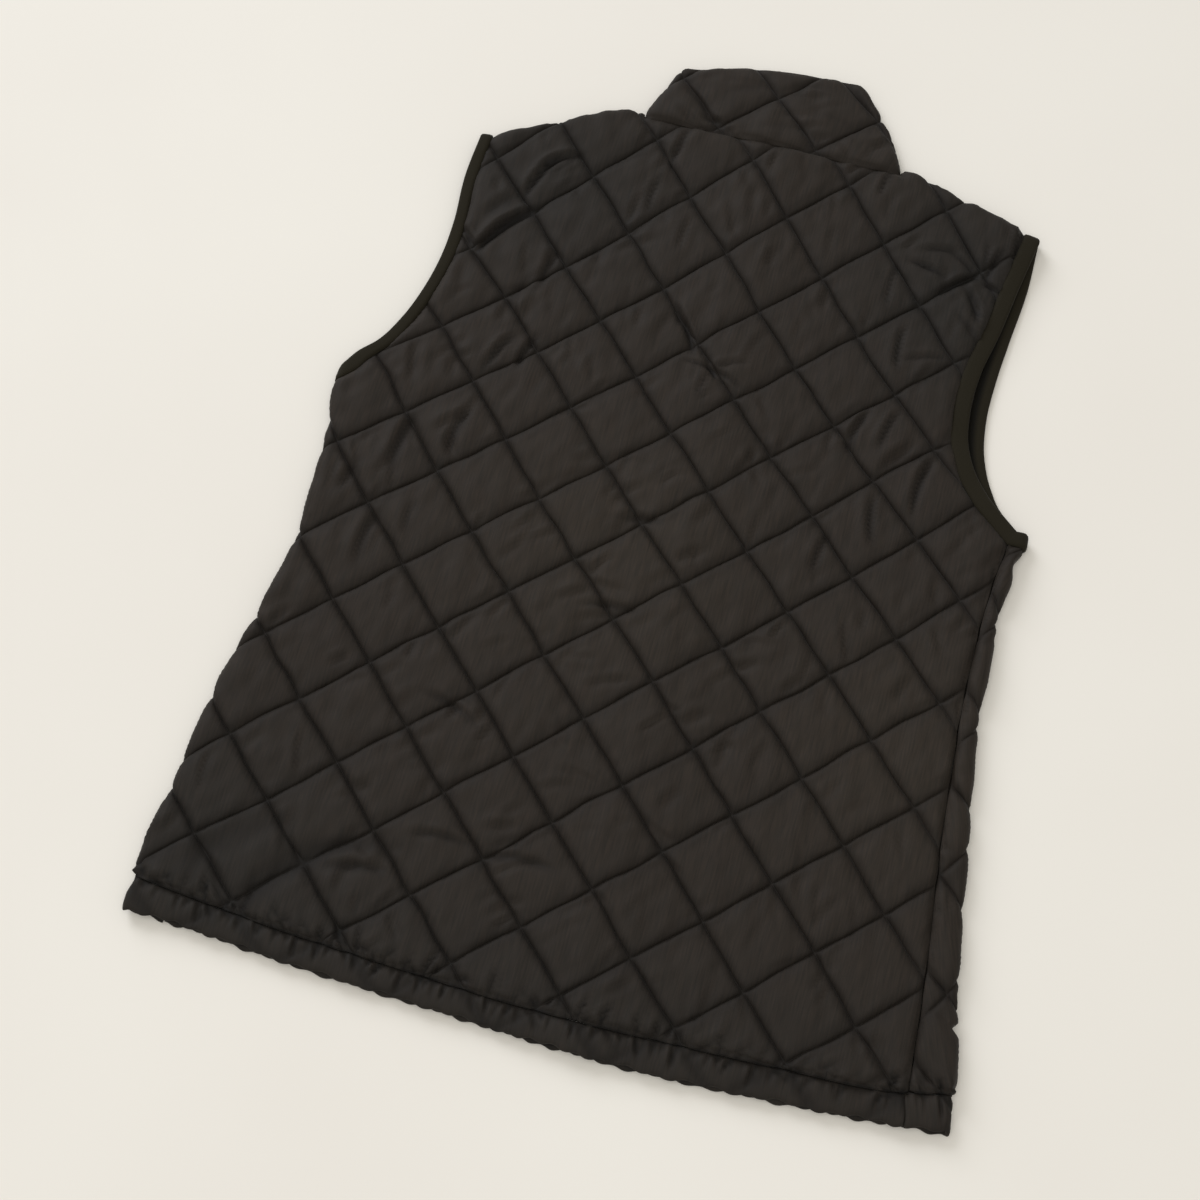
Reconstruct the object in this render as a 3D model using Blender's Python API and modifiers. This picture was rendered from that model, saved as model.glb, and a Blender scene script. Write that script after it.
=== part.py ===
"""A quilted stand-collar vest, lying face down and flat, with its back up.

+Y runs from the hem to the collar, +X to the right of someone who looks down
at the back, and +Z is up from the surface that the vest lies on.  The two
fronts lie on that surface, the back lies on them, and the cloth is rolled
over at the sides, at the shoulders and at the ends of the collar.  The vest
lies a little turned about its long axis, so its right-hand side seam shows
on top and its left-hand one is underneath.

Every cloth piece is an open outer surface, lofted through sections, that a
Solidify modifier gives its wall.
"""

from collections import namedtuple
import math

import bmesh
import bpy
import numpy as np

MM = 0.001                  # every size below is in millimetres

# The cloth
CLOTH = 4.0                 # shell, wadding and lining, quilted together
SEAM_GAP = 0.35             # between two pieces that are sewn together
NECK_GAP = 0.7              # the same at the neck seam, where both walls lean
UNDERARM_GAP = 1.4          # added where a binding crosses the rolled side
LAYERS = 2 * CLOTH + 0.5    # top of the back where it lies on the fronts
ROLL = 5.5                  # how far a rolled edge reaches past its flat part
SIDE_PUFF = 2.0             # extra height of the two layers near a rolled edge
PUFF_REACH = 40.0           # how far in from the edge that height fades
ZIP_RIDGE = 2.3             # height that the zip beneath gives the back
ZIP_RIDGE_REACH = 26.0
NECK_RISE = 1.0             # extra height at the neck seam
NECK_RISE_START = 520.0
NECK_SEAM = 648.0           # height of the back's neck seam above the hem
COLLAR_SQUARE = 4.0         # how far the collar runs square to its seam
COLLAR_SWELL = 4.5          # how far its right end swells out halfway up
COLLAR_EDGE_HEIGHT = 9.5    # top of the collar's back at its upper edge

# The closure, down the middle of the two fronts
ZIP_AT_HEM = 29.0           # the zip's place across the vest at height 0
ZIP_LEAN = 0.0452           # and how far it leans to the left for each unit up
ZIP_OPENING = 5.5           # from the zip's middle to the edge of each front
FRONT_NECK = 577.0          # height of the front neck seam at the zip
ZIP_START = 12.0            # lower end of the tapes, along the zip from height 0
ZIP_LENGTH = 622.0
TAPE_EDGE = 14.0            # from the zip's middle to the tape's outer edge
TAPE = 0.6
TAPE_LEVEL = 4.6            # middle of the tape and the teeth above the surface
TEETH_WIDTH = 5.4
TEETH = 2.2
ZIP_BOX_LENGTH = 9.0
ZIP_BOX = 3.0               # depth of the box

# The slider, which lies closed at the top of the zip, and its tab
SLIDER_AT = 628.0
PIVOT_LEVEL = 1.6           # height of the tab's axis over the surface
SLIDER_WIDTH = 8.6
SLIDER_LENGTH = 9.0
SLIDER_PLATE = 0.8
SLIDER_CORNER = 1.6
SLIDER_CORE = (3.2, 3.0)    # width and length of the wedge that parts the teeth
CORE_SETBACK = 0.4          # from the slider's upper end to the wedge
TEETH_CLEAR = 1.0           # from the teeth's upper end to the wedge
BAIL_LENGTH = 7.0
BAIL_WIDTH = 1.9
BAIL_BAR = 0.7
BAIL_ROOM = 1.6             # inside height of the bail
TAB_LENGTH = 26.0
TAB_WIDTH = 7.4
TAB = 1.0
TAB_CORNER = 0.4
TAB_EYE = (3.2, 3.9)        # the hole that takes the bail
TAB_EYE_CORNER = 0.2
TAB_BAR = 0.9               # the bar beyond the hole, on which the tab turns
TAB_CLEAR = 0.03            # from the surface to the tab's far end

# The binding round each armhole
BINDING = 10.0
BINDING_EVENING = 8         # times its sideways direction is averaged along the loop

# Rows of the lofts
BODY_ROWS = 13
ARMHOLE_ROWS = (0.0, 0.025, 0.06, 0.11, 0.18, 0.27, 0.37, 0.48, 0.6, 0.73, 0.87, 1.0)
UNDERARM_SHARE = 0.62       # share of a panel's rows' parameter below the armhole
ROLL_STEPS = 6
SHOULDER_TURN = (0.0, 30.0, 60.0, 80.0)
COLLAR_ROWS = 4

# The outline between the hem and the armholes: the two rolled edges, and the
# right-hand side seam.  The left-hand seam lies as far from its edge, beneath.
BodySection = namedtuple("BodySection", "height left right seam")
BODY = [
    BodySection(-10, -261.5, 260.0, 232.0),
    BodySection(0, -261.5, 260.0, 231.5),
    BodySection(45, -261.0, 254.0, 228.5),
    BodySection(90, -256.5, 246.0, 226.0),
    BodySection(135, -253.5, 239.5, 222.0),
    BodySection(180, -248.5, 234.5, 218.0),
    BodySection(215, -241.5, 229.5, 216.0),
    BodySection(265, -235.5, 225.0, 213.5),
    BodySection(310, -236.5, 224.0, 213.5),
    BodySection(350, -240.0, 225.0, 215.5),
    BodySection(392, -247.5, 234.5, 221.0),
]

# The edges that the binding covers, between the underarm and the shoulder
ArmholeSection = namedtuple("ArmholeSection", "rise back_left back_right front_left front_right")
ARMHOLE = [
    ArmholeSection(0.04, -234.5, 209.0, -212.0, 215.0),
    ArmholeSection(0.08, -229.0, 198.5, -197.0, 204.5),
    ArmholeSection(0.15, -217.5, 184.5, -180.0, 193.5),
    ArmholeSection(0.25, -207.5, 172.5, -167.5, 184.0),
    ArmholeSection(0.38, -199.5, 167.3, -163.0, 179.3),
    ArmholeSection(0.52, -195.0, 168.5, -166.5, 180.0),
    ArmholeSection(0.66, -194.5, 175.0, -172.5, 183.0),
    ArmholeSection(0.84, -197.5, 181.5, -184.0, 187.5),
    ArmholeSection(1.00, -196.0, 188.0, -196.0, 188.0),
]
# Height of each armhole edge where it starts at the underarm
Underarm = namedtuple("Underarm", "back_left back_right front_left front_right")
UNDERARM = Underarm(390.0, 387.0, 379.0, 385.0)

# Lines across the vest, each from left to right
LinePoint = namedtuple("LinePoint", "across height")
HEM = [
    LinePoint(-262, 3.5),
    LinePoint(-220, 2.5),
    LinePoint(-160, -1.8),
    LinePoint(-51, -6.3),
    LinePoint(59, -9.6),
    LinePoint(152, -5.5),
    LinePoint(222, -0.5),
    LinePoint(261, 3.0),
]
LEFT_SHOULDER = [
    LinePoint(-196.0, 600.5),
    LinePoint(-155.0, 624.0),
    LinePoint(-130.0, 636.5),
    LinePoint(-110.0, 645.0),
    LinePoint(-96.4, NECK_SEAM),
]
RIGHT_SHOULDER = [
    LinePoint(92.4, NECK_SEAM),
    LinePoint(115.0, 643.5),
    LinePoint(135.0, 636.0),
    LinePoint(155.0, 629.5),
    LinePoint(188.0, 619.5),
]
# The neck seam of each front, from the shoulder to the zip
NeckPoint = namedtuple("NeckPoint", "left right height")
FRONT_NECKLINE = [
    NeckPoint(-90.2, 86.2, 647.8),
    NeckPoint(-86.0, 82.5, 632.0),
    NeckPoint(-72.0, 70.0, 611.0),
    NeckPoint(-45.0, 46.0, 590.0),
]
NECK_STEPS = 9              # columns of the back along its neck seam

# The collar's upper edge, from the zip round to the zip again.  Its lower
# edge follows the neck seam.
CollarEdge = namedtuple("CollarEdge", "across height")
COLLAR_FRONT_LEFT = [CollarEdge(-5.5, 641), CollarEdge(-25, 652), CollarEdge(-44, 667),
                     CollarEdge(-62, 683), CollarEdge(-75.5, 697)]
COLLAR_BACK = [CollarEdge(-75.5, 698), CollarEdge(-60, 702), CollarEdge(-34, 710),
               CollarEdge(-4, 714), CollarEdge(28, 717), CollarEdge(43, 716.5)]
COLLAR_FRONT_RIGHT = [CollarEdge(43, 715), CollarEdge(38, 698), CollarEdge(31, 680),
                      CollarEdge(20, 660), CollarEdge(5.5, 641)]

# The middle of the outline, which the part's origin lies under
MIDDLE_X = (min(row.left for row in BODY) + max(row.right for row in BODY)) / 2
MIDDLE_Y = (min(point.height for point in HEM) + max(point.height for point in COLLAR_BACK)) / 2

Finish = namedtuple("Finish", "colour roughness")
QUILTED_CLOTH = Finish((0.024, 0.022, 0.019), 0.5)
KNIT_BINDING = Finish((0.016, 0.016, 0.013), 0.8)
WOVEN_TAPE = Finish((0.012, 0.012, 0.012), 0.8)
BLACK_PLASTIC = Finish((0.012, 0.012, 0.012), 0.45)
PAINTED_METAL = Finish((0.020, 0.020, 0.021), 0.35)


def through(points, at):
    """A smooth curve through table points: cubic pieces whose slope at a
    point is the mean slope of its two neighbours."""
    points = np.asarray(points, dtype=float)
    keys = points[:, 0]
    values = points[:, 1]
    slopes = np.gradient(values, keys)
    at = np.clip(np.asarray(at, dtype=float), keys[0], keys[-1])
    piece = np.clip(np.searchsorted(keys, at, side="right") - 1, 0, len(keys) - 2)
    width = keys[piece + 1] - keys[piece]
    t = (at - keys[piece]) / width
    start = (1 + 2 * t) * (1 - t) ** 2 * values[piece] + t * (1 - t) ** 2 * width * slopes[piece]
    end = t ** 2 * (3 - 2 * t) * values[piece + 1] - t ** 2 * (1 - t) * width * slopes[piece + 1]
    return start + end


def body_line(name, height):
    """Place across the vest of a rolled edge or of the side seam at a height."""
    return through([(row.height, getattr(row, name)) for row in BODY], height)


def left_seam(height):
    return body_line("left", height) + body_line("right", height) - body_line("seam", height)


def hem(across):
    return through(HEM, across)


def zip_line(height):
    return ZIP_AT_HEM - ZIP_LEAN * height


def bell(distance, reach):
    return np.exp(-(distance / reach) ** 2)


def top_height(across, height):
    """Height of the back's outer face over the surface."""
    from_left = across - body_line("left", height)
    from_right = body_line("right", height) - across
    shoulder = through(LEFT_SHOULDER + RIGHT_SHOULDER, across)
    from_edge = np.minimum(np.minimum(from_left, from_right), shoulder - height)
    rise = np.clip((height - NECK_RISE_START) / (NECK_SEAM - NECK_RISE_START), 0, 1)
    return (LAYERS
            + SIDE_PUFF * bell(np.maximum(from_edge, 0), PUFF_REACH)
            + ZIP_RIDGE * bell(across - zip_line(height), ZIP_RIDGE_REACH)
            + NECK_RISE * rise ** 2 * (3 - 2 * rise))


def armhole_edge(name):
    """Rows of points up a panel's armhole edge, underarm to shoulder."""
    layer, side = name.split("_")
    low = getattr(UNDERARM, name)
    high = LEFT_SHOULDER[0].height if side == "left" else RIGHT_SHOULDER[-1].height
    starts = {
        "back_left": body_line("left", low) + ROLL,
        "back_right": body_line("seam", low) - SEAM_GAP,
        "front_left": left_seam(low) + SEAM_GAP,
        "front_right": body_line("right", low) - ROLL,
    }
    table = [(0.0, float(starts[name]))] + [(row.rise, getattr(row, name)) for row in ARMHOLE]
    rise = np.array(ARMHOLE_ROWS)
    return np.stack([through(table, rise), low + rise * (high - low)], axis=1)


def spread(first, last, count):
    return np.linspace(first, last, count + 1)


def row_shares():
    """Each row's place between a panel's lower and upper edges."""
    return np.concatenate([spread(0, UNDERARM_SHARE, BODY_ROWS),
                           UNDERARM_SHARE + (1 - UNDERARM_SHARE) * np.array(ARMHOLE_ROWS[1:])])


def hem_edge(top, first, last):
    """A panel's lower edge, with its columns spaced as the upper edge's."""
    share = (top[:, 0] - top[0, 0]) / (top[-1, 0] - top[0, 0])
    across = first[0] + share * (last[0] - first[0])
    edge = np.stack([across, hem(across)], axis=1)
    edge[0], edge[-1] = first, last
    return edge


def fill_between(bottom, top, left, right):
    """Rows of points over a panel from its four edges: each point is the
    blend of the side edges, plus that of the top and bottom edges, less that
    of the four corners."""
    share = (top[:, 0] - top[0, 0]) / (top[-1, 0] - top[0, 0])
    u, v = share[None, :, None], row_shares()[:, None, None]
    sides = (1 - u) * left[:, None] + u * right[:, None]
    ends = (1 - v) * bottom[None] + v * top[None]
    low = (1 - u) * bottom[0] + u * bottom[-1]
    high = (1 - u) * top[0] + u * top[-1]
    return sides + ends - ((1 - v) * low + v * high)


def lift(plan, height):
    """Plan points with a height for each."""
    return np.concatenate([plan, np.broadcast_to(height, plan.shape[:-1])[..., None]], axis=-1)


def cloth(name, grids, finish, face_down=False, closed=False):
    """Joins grids of points that share their edges into one outer surface,
    which a Solidify modifier thickens inwards.  A closed grid's last row
    meets its first."""
    mesh = bpy.data.meshes.new(name)
    shape = bmesh.new()
    for grid in grids:
        rows, columns = grid.shape[:2]
        moved = (grid - (MIDDLE_X, MIDDLE_Y, 0)) * MM
        points = [[shape.verts.new(moved[i, j]) for j in range(columns)] for i in range(rows)]
        for i in range(rows if closed else rows - 1):
            row, following = points[i], points[(i + 1) % rows]
            for j in range(columns - 1):
                shape.faces.new((row[j], row[j + 1], following[j + 1], following[j]))
    bmesh.ops.remove_doubles(shape, verts=shape.verts, dist=0.02 * MM)
    bmesh.ops.recalc_face_normals(shape, faces=shape.faces)
    outermost = max(shape.faces, key=lambda face: face.calc_center_median().z * (-1 if face_down else 1))
    if (outermost.normal.z < 0) != face_down:
        bmesh.ops.reverse_faces(shape, faces=shape.faces)
    shape.to_mesh(mesh)
    shape.free()
    piece = place(mesh, name, finish, vest)
    wall = piece.modifiers.new("wall", "SOLIDIFY")
    wall.thickness = CLOTH * MM
    wall.offset = -1
    return piece


def place(mesh, name, finish, group):
    """An object for a mesh, with its own material, in a collection."""
    piece = bpy.data.objects.new(name, mesh)
    group.objects.link(piece)
    material = bpy.data.materials.new(name)
    material.use_nodes = True
    shader = material.node_tree.nodes["Principled BSDF"]
    shader.inputs["Base Color"].default_value = (*finish.colour, 1.0)
    shader.inputs["Roughness"].default_value = finish.roughness
    mesh.materials.append(material)
    return piece


def clear_scene():
    for item in list(bpy.data.objects):
        bpy.data.objects.remove(item, do_unlink=True)


def collection(name):
    group = bpy.data.collections.new(name)
    bpy.context.scene.collection.children.link(group)
    return group


# ---------------------------------------------------------------- the back
def back():
    """The back panel, with the strip of it that rolls under on the left."""
    neck = [(x, NECK_SEAM)
            for x in spread(LEFT_SHOULDER[-1].across, RIGHT_SHOULDER[0].across, NECK_STEPS)]
    top = np.array(LEFT_SHOULDER[:-1] + neck + RIGHT_SHOULDER[1:], dtype=float)
    left_y = spread(float(hem(body_line("left", 0) + ROLL)), UNDERARM.back_left, BODY_ROWS)
    left_low = np.stack([body_line("left", left_y) + ROLL, left_y], axis=1)
    right_y = spread(float(hem(body_line("seam", 0))), UNDERARM.back_right, BODY_ROWS)
    right_low = np.stack([body_line("seam", right_y) - SEAM_GAP, right_y], axis=1)
    left = np.vstack([left_low, armhole_edge("back_left")[1:]])
    right = np.vstack([right_low, armhole_edge("back_right")[1:]])
    plan = fill_between(hem_edge(top, left[0], right[0]), top, left, right)
    panel = lift(plan, top_height(plan[..., 0], plan[..., 1]))
    shoulders = [shoulder_roll(panel[-1, :len(LEFT_SHOULDER)], way=1),
                 shoulder_roll(panel[-1, -len(RIGHT_SHOULDER):], way=1)]
    return cloth("back", [panel, left_side_roll(panel), *shoulders], QUILTED_CLOTH)


def left_side_roll(panel):
    """The back's left edge, rolled round to the seam underneath."""
    start = panel[:BODY_ROWS + 1, 0]
    drop = UNDERARM.back_left - UNDERARM.front_left
    arc = side_arc(start, -1, spread(0, 180, ROLL_STEPS), start[:, 2], -drop)
    seam_y = arc[:, -1, 1]
    end = np.stack([left_seam(seam_y) - SEAM_GAP, seam_y, np.zeros(len(seam_y))], axis=-1)
    return np.concatenate([arc, end[:, None]], axis=1)


def side_arc(start, way, angles, top, climb):
    """Sections of a rolled side edge, row by row: half an ellipse as deep as
    the two layers, from the back's outer face at 0 degrees to the surface at
    180.  The top row climbs by a given height on its way round."""
    turn = np.radians(angles)[None]
    share = spread(0, 1, len(start) - 1)[:, None] * spread(0, 1, len(angles) - 1)[None]
    x = start[:, :1] + way * ROLL * np.sin(turn)
    y = start[:, 1:2] + share * climb
    z = top[:, None] * (1 + np.cos(turn)) / 2
    return np.stack([x, y, z], axis=-1)


def shoulder_roll(edge, way):
    """A panel's shoulder edge, turned over to the seam halfway down: from
    above for the back (way 1), from below for a front (way -1).  It ends
    upright, so the two walls meet square."""
    middle = top_height(edge[:, 0], edge[:, 1]) / 2
    turns = [(math.sin(turn), math.cos(turn)) for turn in np.radians(SHOULDER_TURN)]
    turns.append((turns[-1][0], SEAM_GAP / 2 / middle))
    rows = []
    for out, level in turns:
        row = edge.copy()
        row[:, 1] += ROLL * out
        row[:, 2] = middle * (1 + way * level)
        rows.append(row)
    return np.array(rows)


# -------------------------------------------------------------- the fronts
def neckline(side):
    """A front's neck seam from its shoulder to the zip."""
    points = [(getattr(point, side), point.height) for point in FRONT_NECKLINE]
    edge = -ZIP_OPENING if side == "left" else ZIP_OPENING
    return points + [(zip_line(FRONT_NECK) + edge, FRONT_NECK)]


def front(side):
    """A front panel.  The right one rolls up over its edge to the side seam."""
    left = side == "left"
    edge = -ZIP_OPENING if left else ZIP_OPENING
    shoulder = LEFT_SHOULDER if left else list(reversed(RIGHT_SHOULDER))
    top = np.array(shoulder + neckline(side), dtype=float)
    low = getattr(UNDERARM, "front_" + side)
    side_y = spread(float(hem(top[0, 0])), low, BODY_ROWS)
    side_x = left_seam(side_y) + SEAM_GAP if left else body_line("right", side_y) - ROLL
    outer = np.vstack([np.stack([side_x, side_y], axis=1), armhole_edge("front_" + side)[1:]])
    hem_y = float(hem(ZIP_AT_HEM))
    zip_y = hem_y + row_shares() * (FRONT_NECK - hem_y)
    inner = np.stack([zip_line(zip_y) + edge, zip_y], axis=1)
    plan = fill_between(hem_edge(top, outer[0], inner[0]), top, outer, inner)
    panel = lift(plan, 0.0)
    grids = [panel, shoulder_roll(panel[-1, :len(shoulder)], way=-1)]
    if not left:
        grids.append(right_side_roll(panel))
    return cloth(side + "_front", grids, QUILTED_CLOTH, face_down=True)


def right_side_roll(panel):
    """The right front's side edge, rolled up to the side seam on top."""
    start = panel[:BODY_ROWS + 1, 0]
    top = top_height(start[:, 0], start[:, 1])
    climb = UNDERARM.back_right - UNDERARM.front_right
    arc = side_arc(start, 1, spread(180, 0, ROLL_STEPS), top, climb)
    seam_y = spread(float(hem(body_line("seam", 0))), UNDERARM.back_right, BODY_ROWS)
    seam_x = body_line("seam", seam_y)
    end = np.stack([seam_x, seam_y, top_height(seam_x, seam_y)], axis=-1)
    return np.concatenate([arc, end[:, None]], axis=1)


# -------------------------------------------------------------- the collar
def offset(points, distance, softened=0):
    """A line of plan points moved sideways, to the left of its direction.
    The direction is averaged with its neighbours' as often as is asked."""
    step = np.gradient(points, axis=0)
    step /= np.linalg.norm(step, axis=1)[:, None]
    sideways = np.stack([-step[:, 1], step[:, 0]], axis=1)
    for _ in range(softened):
        sideways[1:-1] = (sideways[:-2] + 2 * sideways[1:-1] + sideways[2:]) / 4
    sideways /= np.linalg.norm(sideways, axis=1)[:, None]
    return points + np.broadcast_to(distance, len(points))[:, None] * sideways


def collar():
    """The stand collar: a ring that lies flattened and is open at the zip.
    Its rows go from the neck seam to its upper edge, and start square to the
    seam, so its wall meets the panels' walls squarely."""
    base_left = offset(np.array(neckline("left")), NECK_GAP)[::-1]
    base_right = offset(np.array(neckline("right")), -NECK_GAP)
    base_left[-1, 1] = base_right[0, 1] = NECK_SEAM + NECK_GAP
    across = np.array([edge.across for edge in COLLAR_BACK])
    share = (across - across[0]) / (across[-1] - across[0])
    base_x = base_left[-1, 0] + share * (base_right[0, 0] - base_left[-1, 0])
    base_back = np.stack([base_x, np.full(len(base_x), NECK_SEAM + NECK_GAP)], axis=1)
    base_height = top_height(base_x, base_back[:, 1])
    rows = []
    for start, t in [(0.0, 0.0)] + [(COLLAR_SQUARE, t) for t in spread(0, 1, COLLAR_ROWS)]:
        foot = np.array([0.0, start])
        left = base_left + foot + t * (np.array(COLLAR_FRONT_LEFT) - base_left - foot)
        over = base_back + foot + t * (np.array(COLLAR_BACK) - base_back - foot)
        right = base_right + foot + t * (np.array(COLLAR_FRONT_RIGHT) - base_right - foot)
        swell = 4 * t * (1 - t) * COLLAR_SWELL
        over[:, 0] += swell * share ** 2
        right[:, 0] += swell * spread(1, 0, len(right) - 1)
        height = base_height + t * (COLLAR_EDGE_HEIGHT - base_height)
        rows.append(np.concatenate([
            lift(left, 0.0),
            collar_fold(left[-1], over[0], height[0], -1),
            lift(over, height),
            collar_fold(over[-1], right[0], height[-1], 1),
            lift(right, 0.0),
        ]))
    return cloth("collar", [np.array(rows)], QUILTED_CLOTH)


def collar_fold(first, last, top, way):
    """Points round an end of the flattened collar, between its two layers."""
    turn = np.radians(spread(0, 180, ROLL_STEPS)[1:-1])
    if way < 0:
        turn = turn[::-1]
    share = spread(0, 1, ROLL_STEPS)[1:-1, None]
    plan = first + share * (last - first)
    plan[:, 0] += way * ROLL * np.sin(turn)
    return lift(plan, top * (1 + np.cos(turn)) / 2)


# ------------------------------------------------------------ the bindings
def binding(side):
    """A tape folded over the armhole's edge: a loop that runs down the back's
    edge, round the underarm, up the front's edge and over the shoulder.  It
    is laid out on the cloth with the side roll opened flat, and then rolled
    up with the cloth."""
    way = -1 if side == "left" else 1
    over, under = armhole_edge("back_" + side)[::-1], armhole_edge("front_" + side)
    fold = float(body_line(side, getattr(UNDERARM, "back_" + side))) - way * ROLL
    length = math.pi * ROLL
    flat_over = np.stack([way * (over[:, 0] - fold), over[:, 1]], axis=1)
    flat_under = np.stack([length - way * (under[:, 0] - fold), under[:, 1]], axis=1)
    share = spread(0, 1, ROLL_STEPS + 1)[1:-1, None]
    across = flat_over[-1] + share * (flat_under[0] - flat_over[-1])
    line = np.concatenate([flat_over, across, flat_under])
    seam = SEAM_GAP + UNDERARM_GAP * bell(line[:, 0] - length / 2, length)
    columns = []
    for reach in (seam, BINDING / 2, BINDING):
        out, height = offset(line, reach, BINDING_EVENING).T
        angle = np.pi * np.clip(out / length, 0, 1)
        x = fold + way * (np.where(out < length, np.minimum(out, 0), length - out) + ROLL * np.sin(angle))
        run = np.stack([x, height, top_height(x, height) * (1 + np.cos(angle)) / 2], axis=1)
        columns.append(np.concatenate([run, shoulder_turn(run[-1], run[0])]))
    name = side + "_armhole_binding"
    return cloth(name, [np.stack(columns, axis=1)], KNIT_BINDING, closed=True)


def shoulder_turn(low, high):
    """Points of the loop where it climbs from the front over the shoulder."""
    turn = np.radians(spread(180, 0, ROLL_STEPS)[1:-1])[:, None]
    share = spread(0, 1, ROLL_STEPS)[1:-1, None]
    plan = low[:2] + share * (high[:2] - low[:2]) + ROLL * np.sin(turn) * np.array([[0, 1]])
    return np.hstack([plan, high[2] * (1 + np.cos(turn)) / 2])


# ----------------------------------------------------------------- the zip
def zip_frame():
    """An empty at the zip's lower end, turned so that +Y runs up the zip."""
    frame = bpy.data.objects.new("zip_frame", None)
    vest.objects.link(frame)
    frame.location = ((zip_line(0) - MIDDLE_X) * MM, -MIDDLE_Y * MM, 0.0)
    frame.rotation_euler.z = math.atan(ZIP_LEAN)
    return frame


def outline(name, loops, thickness, centre, finish, group):
    """A flat plate from closed outlines in the zip's plane, as a mesh."""
    curve = bpy.data.curves.new(name, "CURVE")
    curve.dimensions = "2D"
    curve.fill_mode = "BOTH"
    curve.extrude = thickness * MM / 2
    for loop in loops:
        spline = curve.splines.new("POLY")
        spline.points.add(len(loop) - 1)
        for point, (x, y) in zip(spline.points, loop):
            point.co = (x * MM, y * MM, 0.0, 1.0)
        spline.use_cyclic_u = True
    flat = bpy.data.objects.new(name + "_outline", curve)
    bpy.context.scene.collection.objects.link(flat)
    solid = bpy.data.meshes.new_from_object(flat.evaluated_get(bpy.context.evaluated_depsgraph_get()))
    bpy.data.objects.remove(flat, do_unlink=True)
    shape = bmesh.new()
    shape.from_mesh(solid)
    bmesh.ops.remove_doubles(shape, verts=shape.verts, dist=0.001 * MM)
    bmesh.ops.recalc_face_normals(shape, faces=shape.faces)
    shape.to_mesh(solid)
    shape.free()
    solid.materials.clear()
    piece = place(solid, name, finish, group)
    piece.parent = closure
    piece.location = [value * MM for value in centre]
    return piece


def rounded(width, low, high, corner):
    """A rectangle about the zip's middle line, with its corners rounded."""
    points = []
    corners = ((1, high, 0), (-1, high, 90), (-1, low, 180), (1, low, 270))
    for side, end, start in corners:
        inward = -1 if end == high else 1
        centre_x, centre_y = side * (width / 2 - corner), end + inward * corner
        for angle in np.radians(spread(start, start + 90, 3)):
            points.append((centre_x + corner * math.cos(angle), centre_y + corner * math.sin(angle)))
    return points


def block(name, width, low, high, bottom, top, finish, group, across=0.0):
    """A cuboid along the zip, between two heights up it and two levels."""
    corners = [(-width / 2, low), (width / 2, low), (width / 2, high), (-width / 2, high)]
    return outline(name, [corners], top - bottom, (across, 0.0, (bottom + top) / 2), finish, group)


def combine(piece, other, operation):
    """Joins or cuts a piece with another that stays out of the model."""
    step = piece.modifiers.new(other.name, "BOOLEAN")
    step.operation = operation
    step.solver = "EXACT"
    step.object = other
    other.hide_render = True
    other.display_type = "WIRE"


def zip_tapes():
    """Each tape lies on the inner side of its front and its half of the collar."""
    inner = TEETH_WIDTH / 2 + SEAM_GAP
    for side, way in (("left", -1), ("right", 1)):
        block("zip_tape_" + side, TAPE_EDGE - inner, ZIP_START, ZIP_START + ZIP_LENGTH,
              TAPE_LEVEL - TAPE / 2, TAPE_LEVEL + TAPE / 2, WOVEN_TAPE, vest,
              across=way * (TAPE_EDGE + inner) / 2)


def zip_teeth():
    """The closed teeth, as one strip from the box up into the slider."""
    top = SLIDER_AT + SLIDER_LENGTH / 2 - SLIDER_CORE[1] - TEETH_CLEAR
    return block("zip_teeth", TEETH_WIDTH, ZIP_START + ZIP_BOX_LENGTH + SEAM_GAP, top,
                 TAPE_LEVEL - TEETH / 2, TAPE_LEVEL + TEETH / 2, BLACK_PLASTIC, vest)


def zip_box():
    """The box at the zip's lower end, which its loose pin goes into."""
    return block("zip_box", TEETH_WIDTH, ZIP_START, ZIP_START + ZIP_BOX_LENGTH,
                 TAPE_LEVEL - ZIP_BOX / 2, TAPE_LEVEL + ZIP_BOX / 2, BLACK_PLASTIC, vest)


def slider():
    """Two plates round the teeth, the core that parts them, and a bail."""
    low, high = SLIDER_AT - SLIDER_LENGTH / 2, SLIDER_AT + SLIDER_LENGTH / 2
    outer = TAPE_LEVEL - TEETH / 2 - SEAM_GAP - SLIDER_PLATE / 2
    inner = TAPE_LEVEL + TEETH / 2 + SEAM_GAP + SLIDER_PLATE / 2
    plate = rounded(SLIDER_WIDTH, low, high, SLIDER_CORNER)
    piece = outline("zip_slider", [plate], SLIDER_PLATE, (0, 0, outer), PAINTED_METAL, vest)
    far_plate = outline("inner_plate", [plate], SLIDER_PLATE, (0, 0, inner), PAINTED_METAL, shapes)
    core = block("core", SLIDER_CORE[0], high - SLIDER_CORE[1], high - CORE_SETBACK,
                 outer, inner, PAINTED_METAL, shapes)
    lowest = PIVOT_LEVEL - BAIL_ROOM / 2 - BAIL_BAR
    half = BAIL_LENGTH / 2
    bail = block("bail", BAIL_WIDTH, SLIDER_AT - half, SLIDER_AT + half,
                 lowest, outer + SLIDER_PLATE / 4, PAINTED_METAL, shapes)
    room = block("bail_room", 2 * BAIL_WIDTH, SLIDER_AT - half + BAIL_BAR, SLIDER_AT + half - BAIL_BAR,
                 lowest + BAIL_BAR, outer, PAINTED_METAL, shapes)
    combine(bail, room, "DIFFERENCE")
    for other in (far_plate, core, bail):
        combine(piece, other, "UNION")
    return piece


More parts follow.
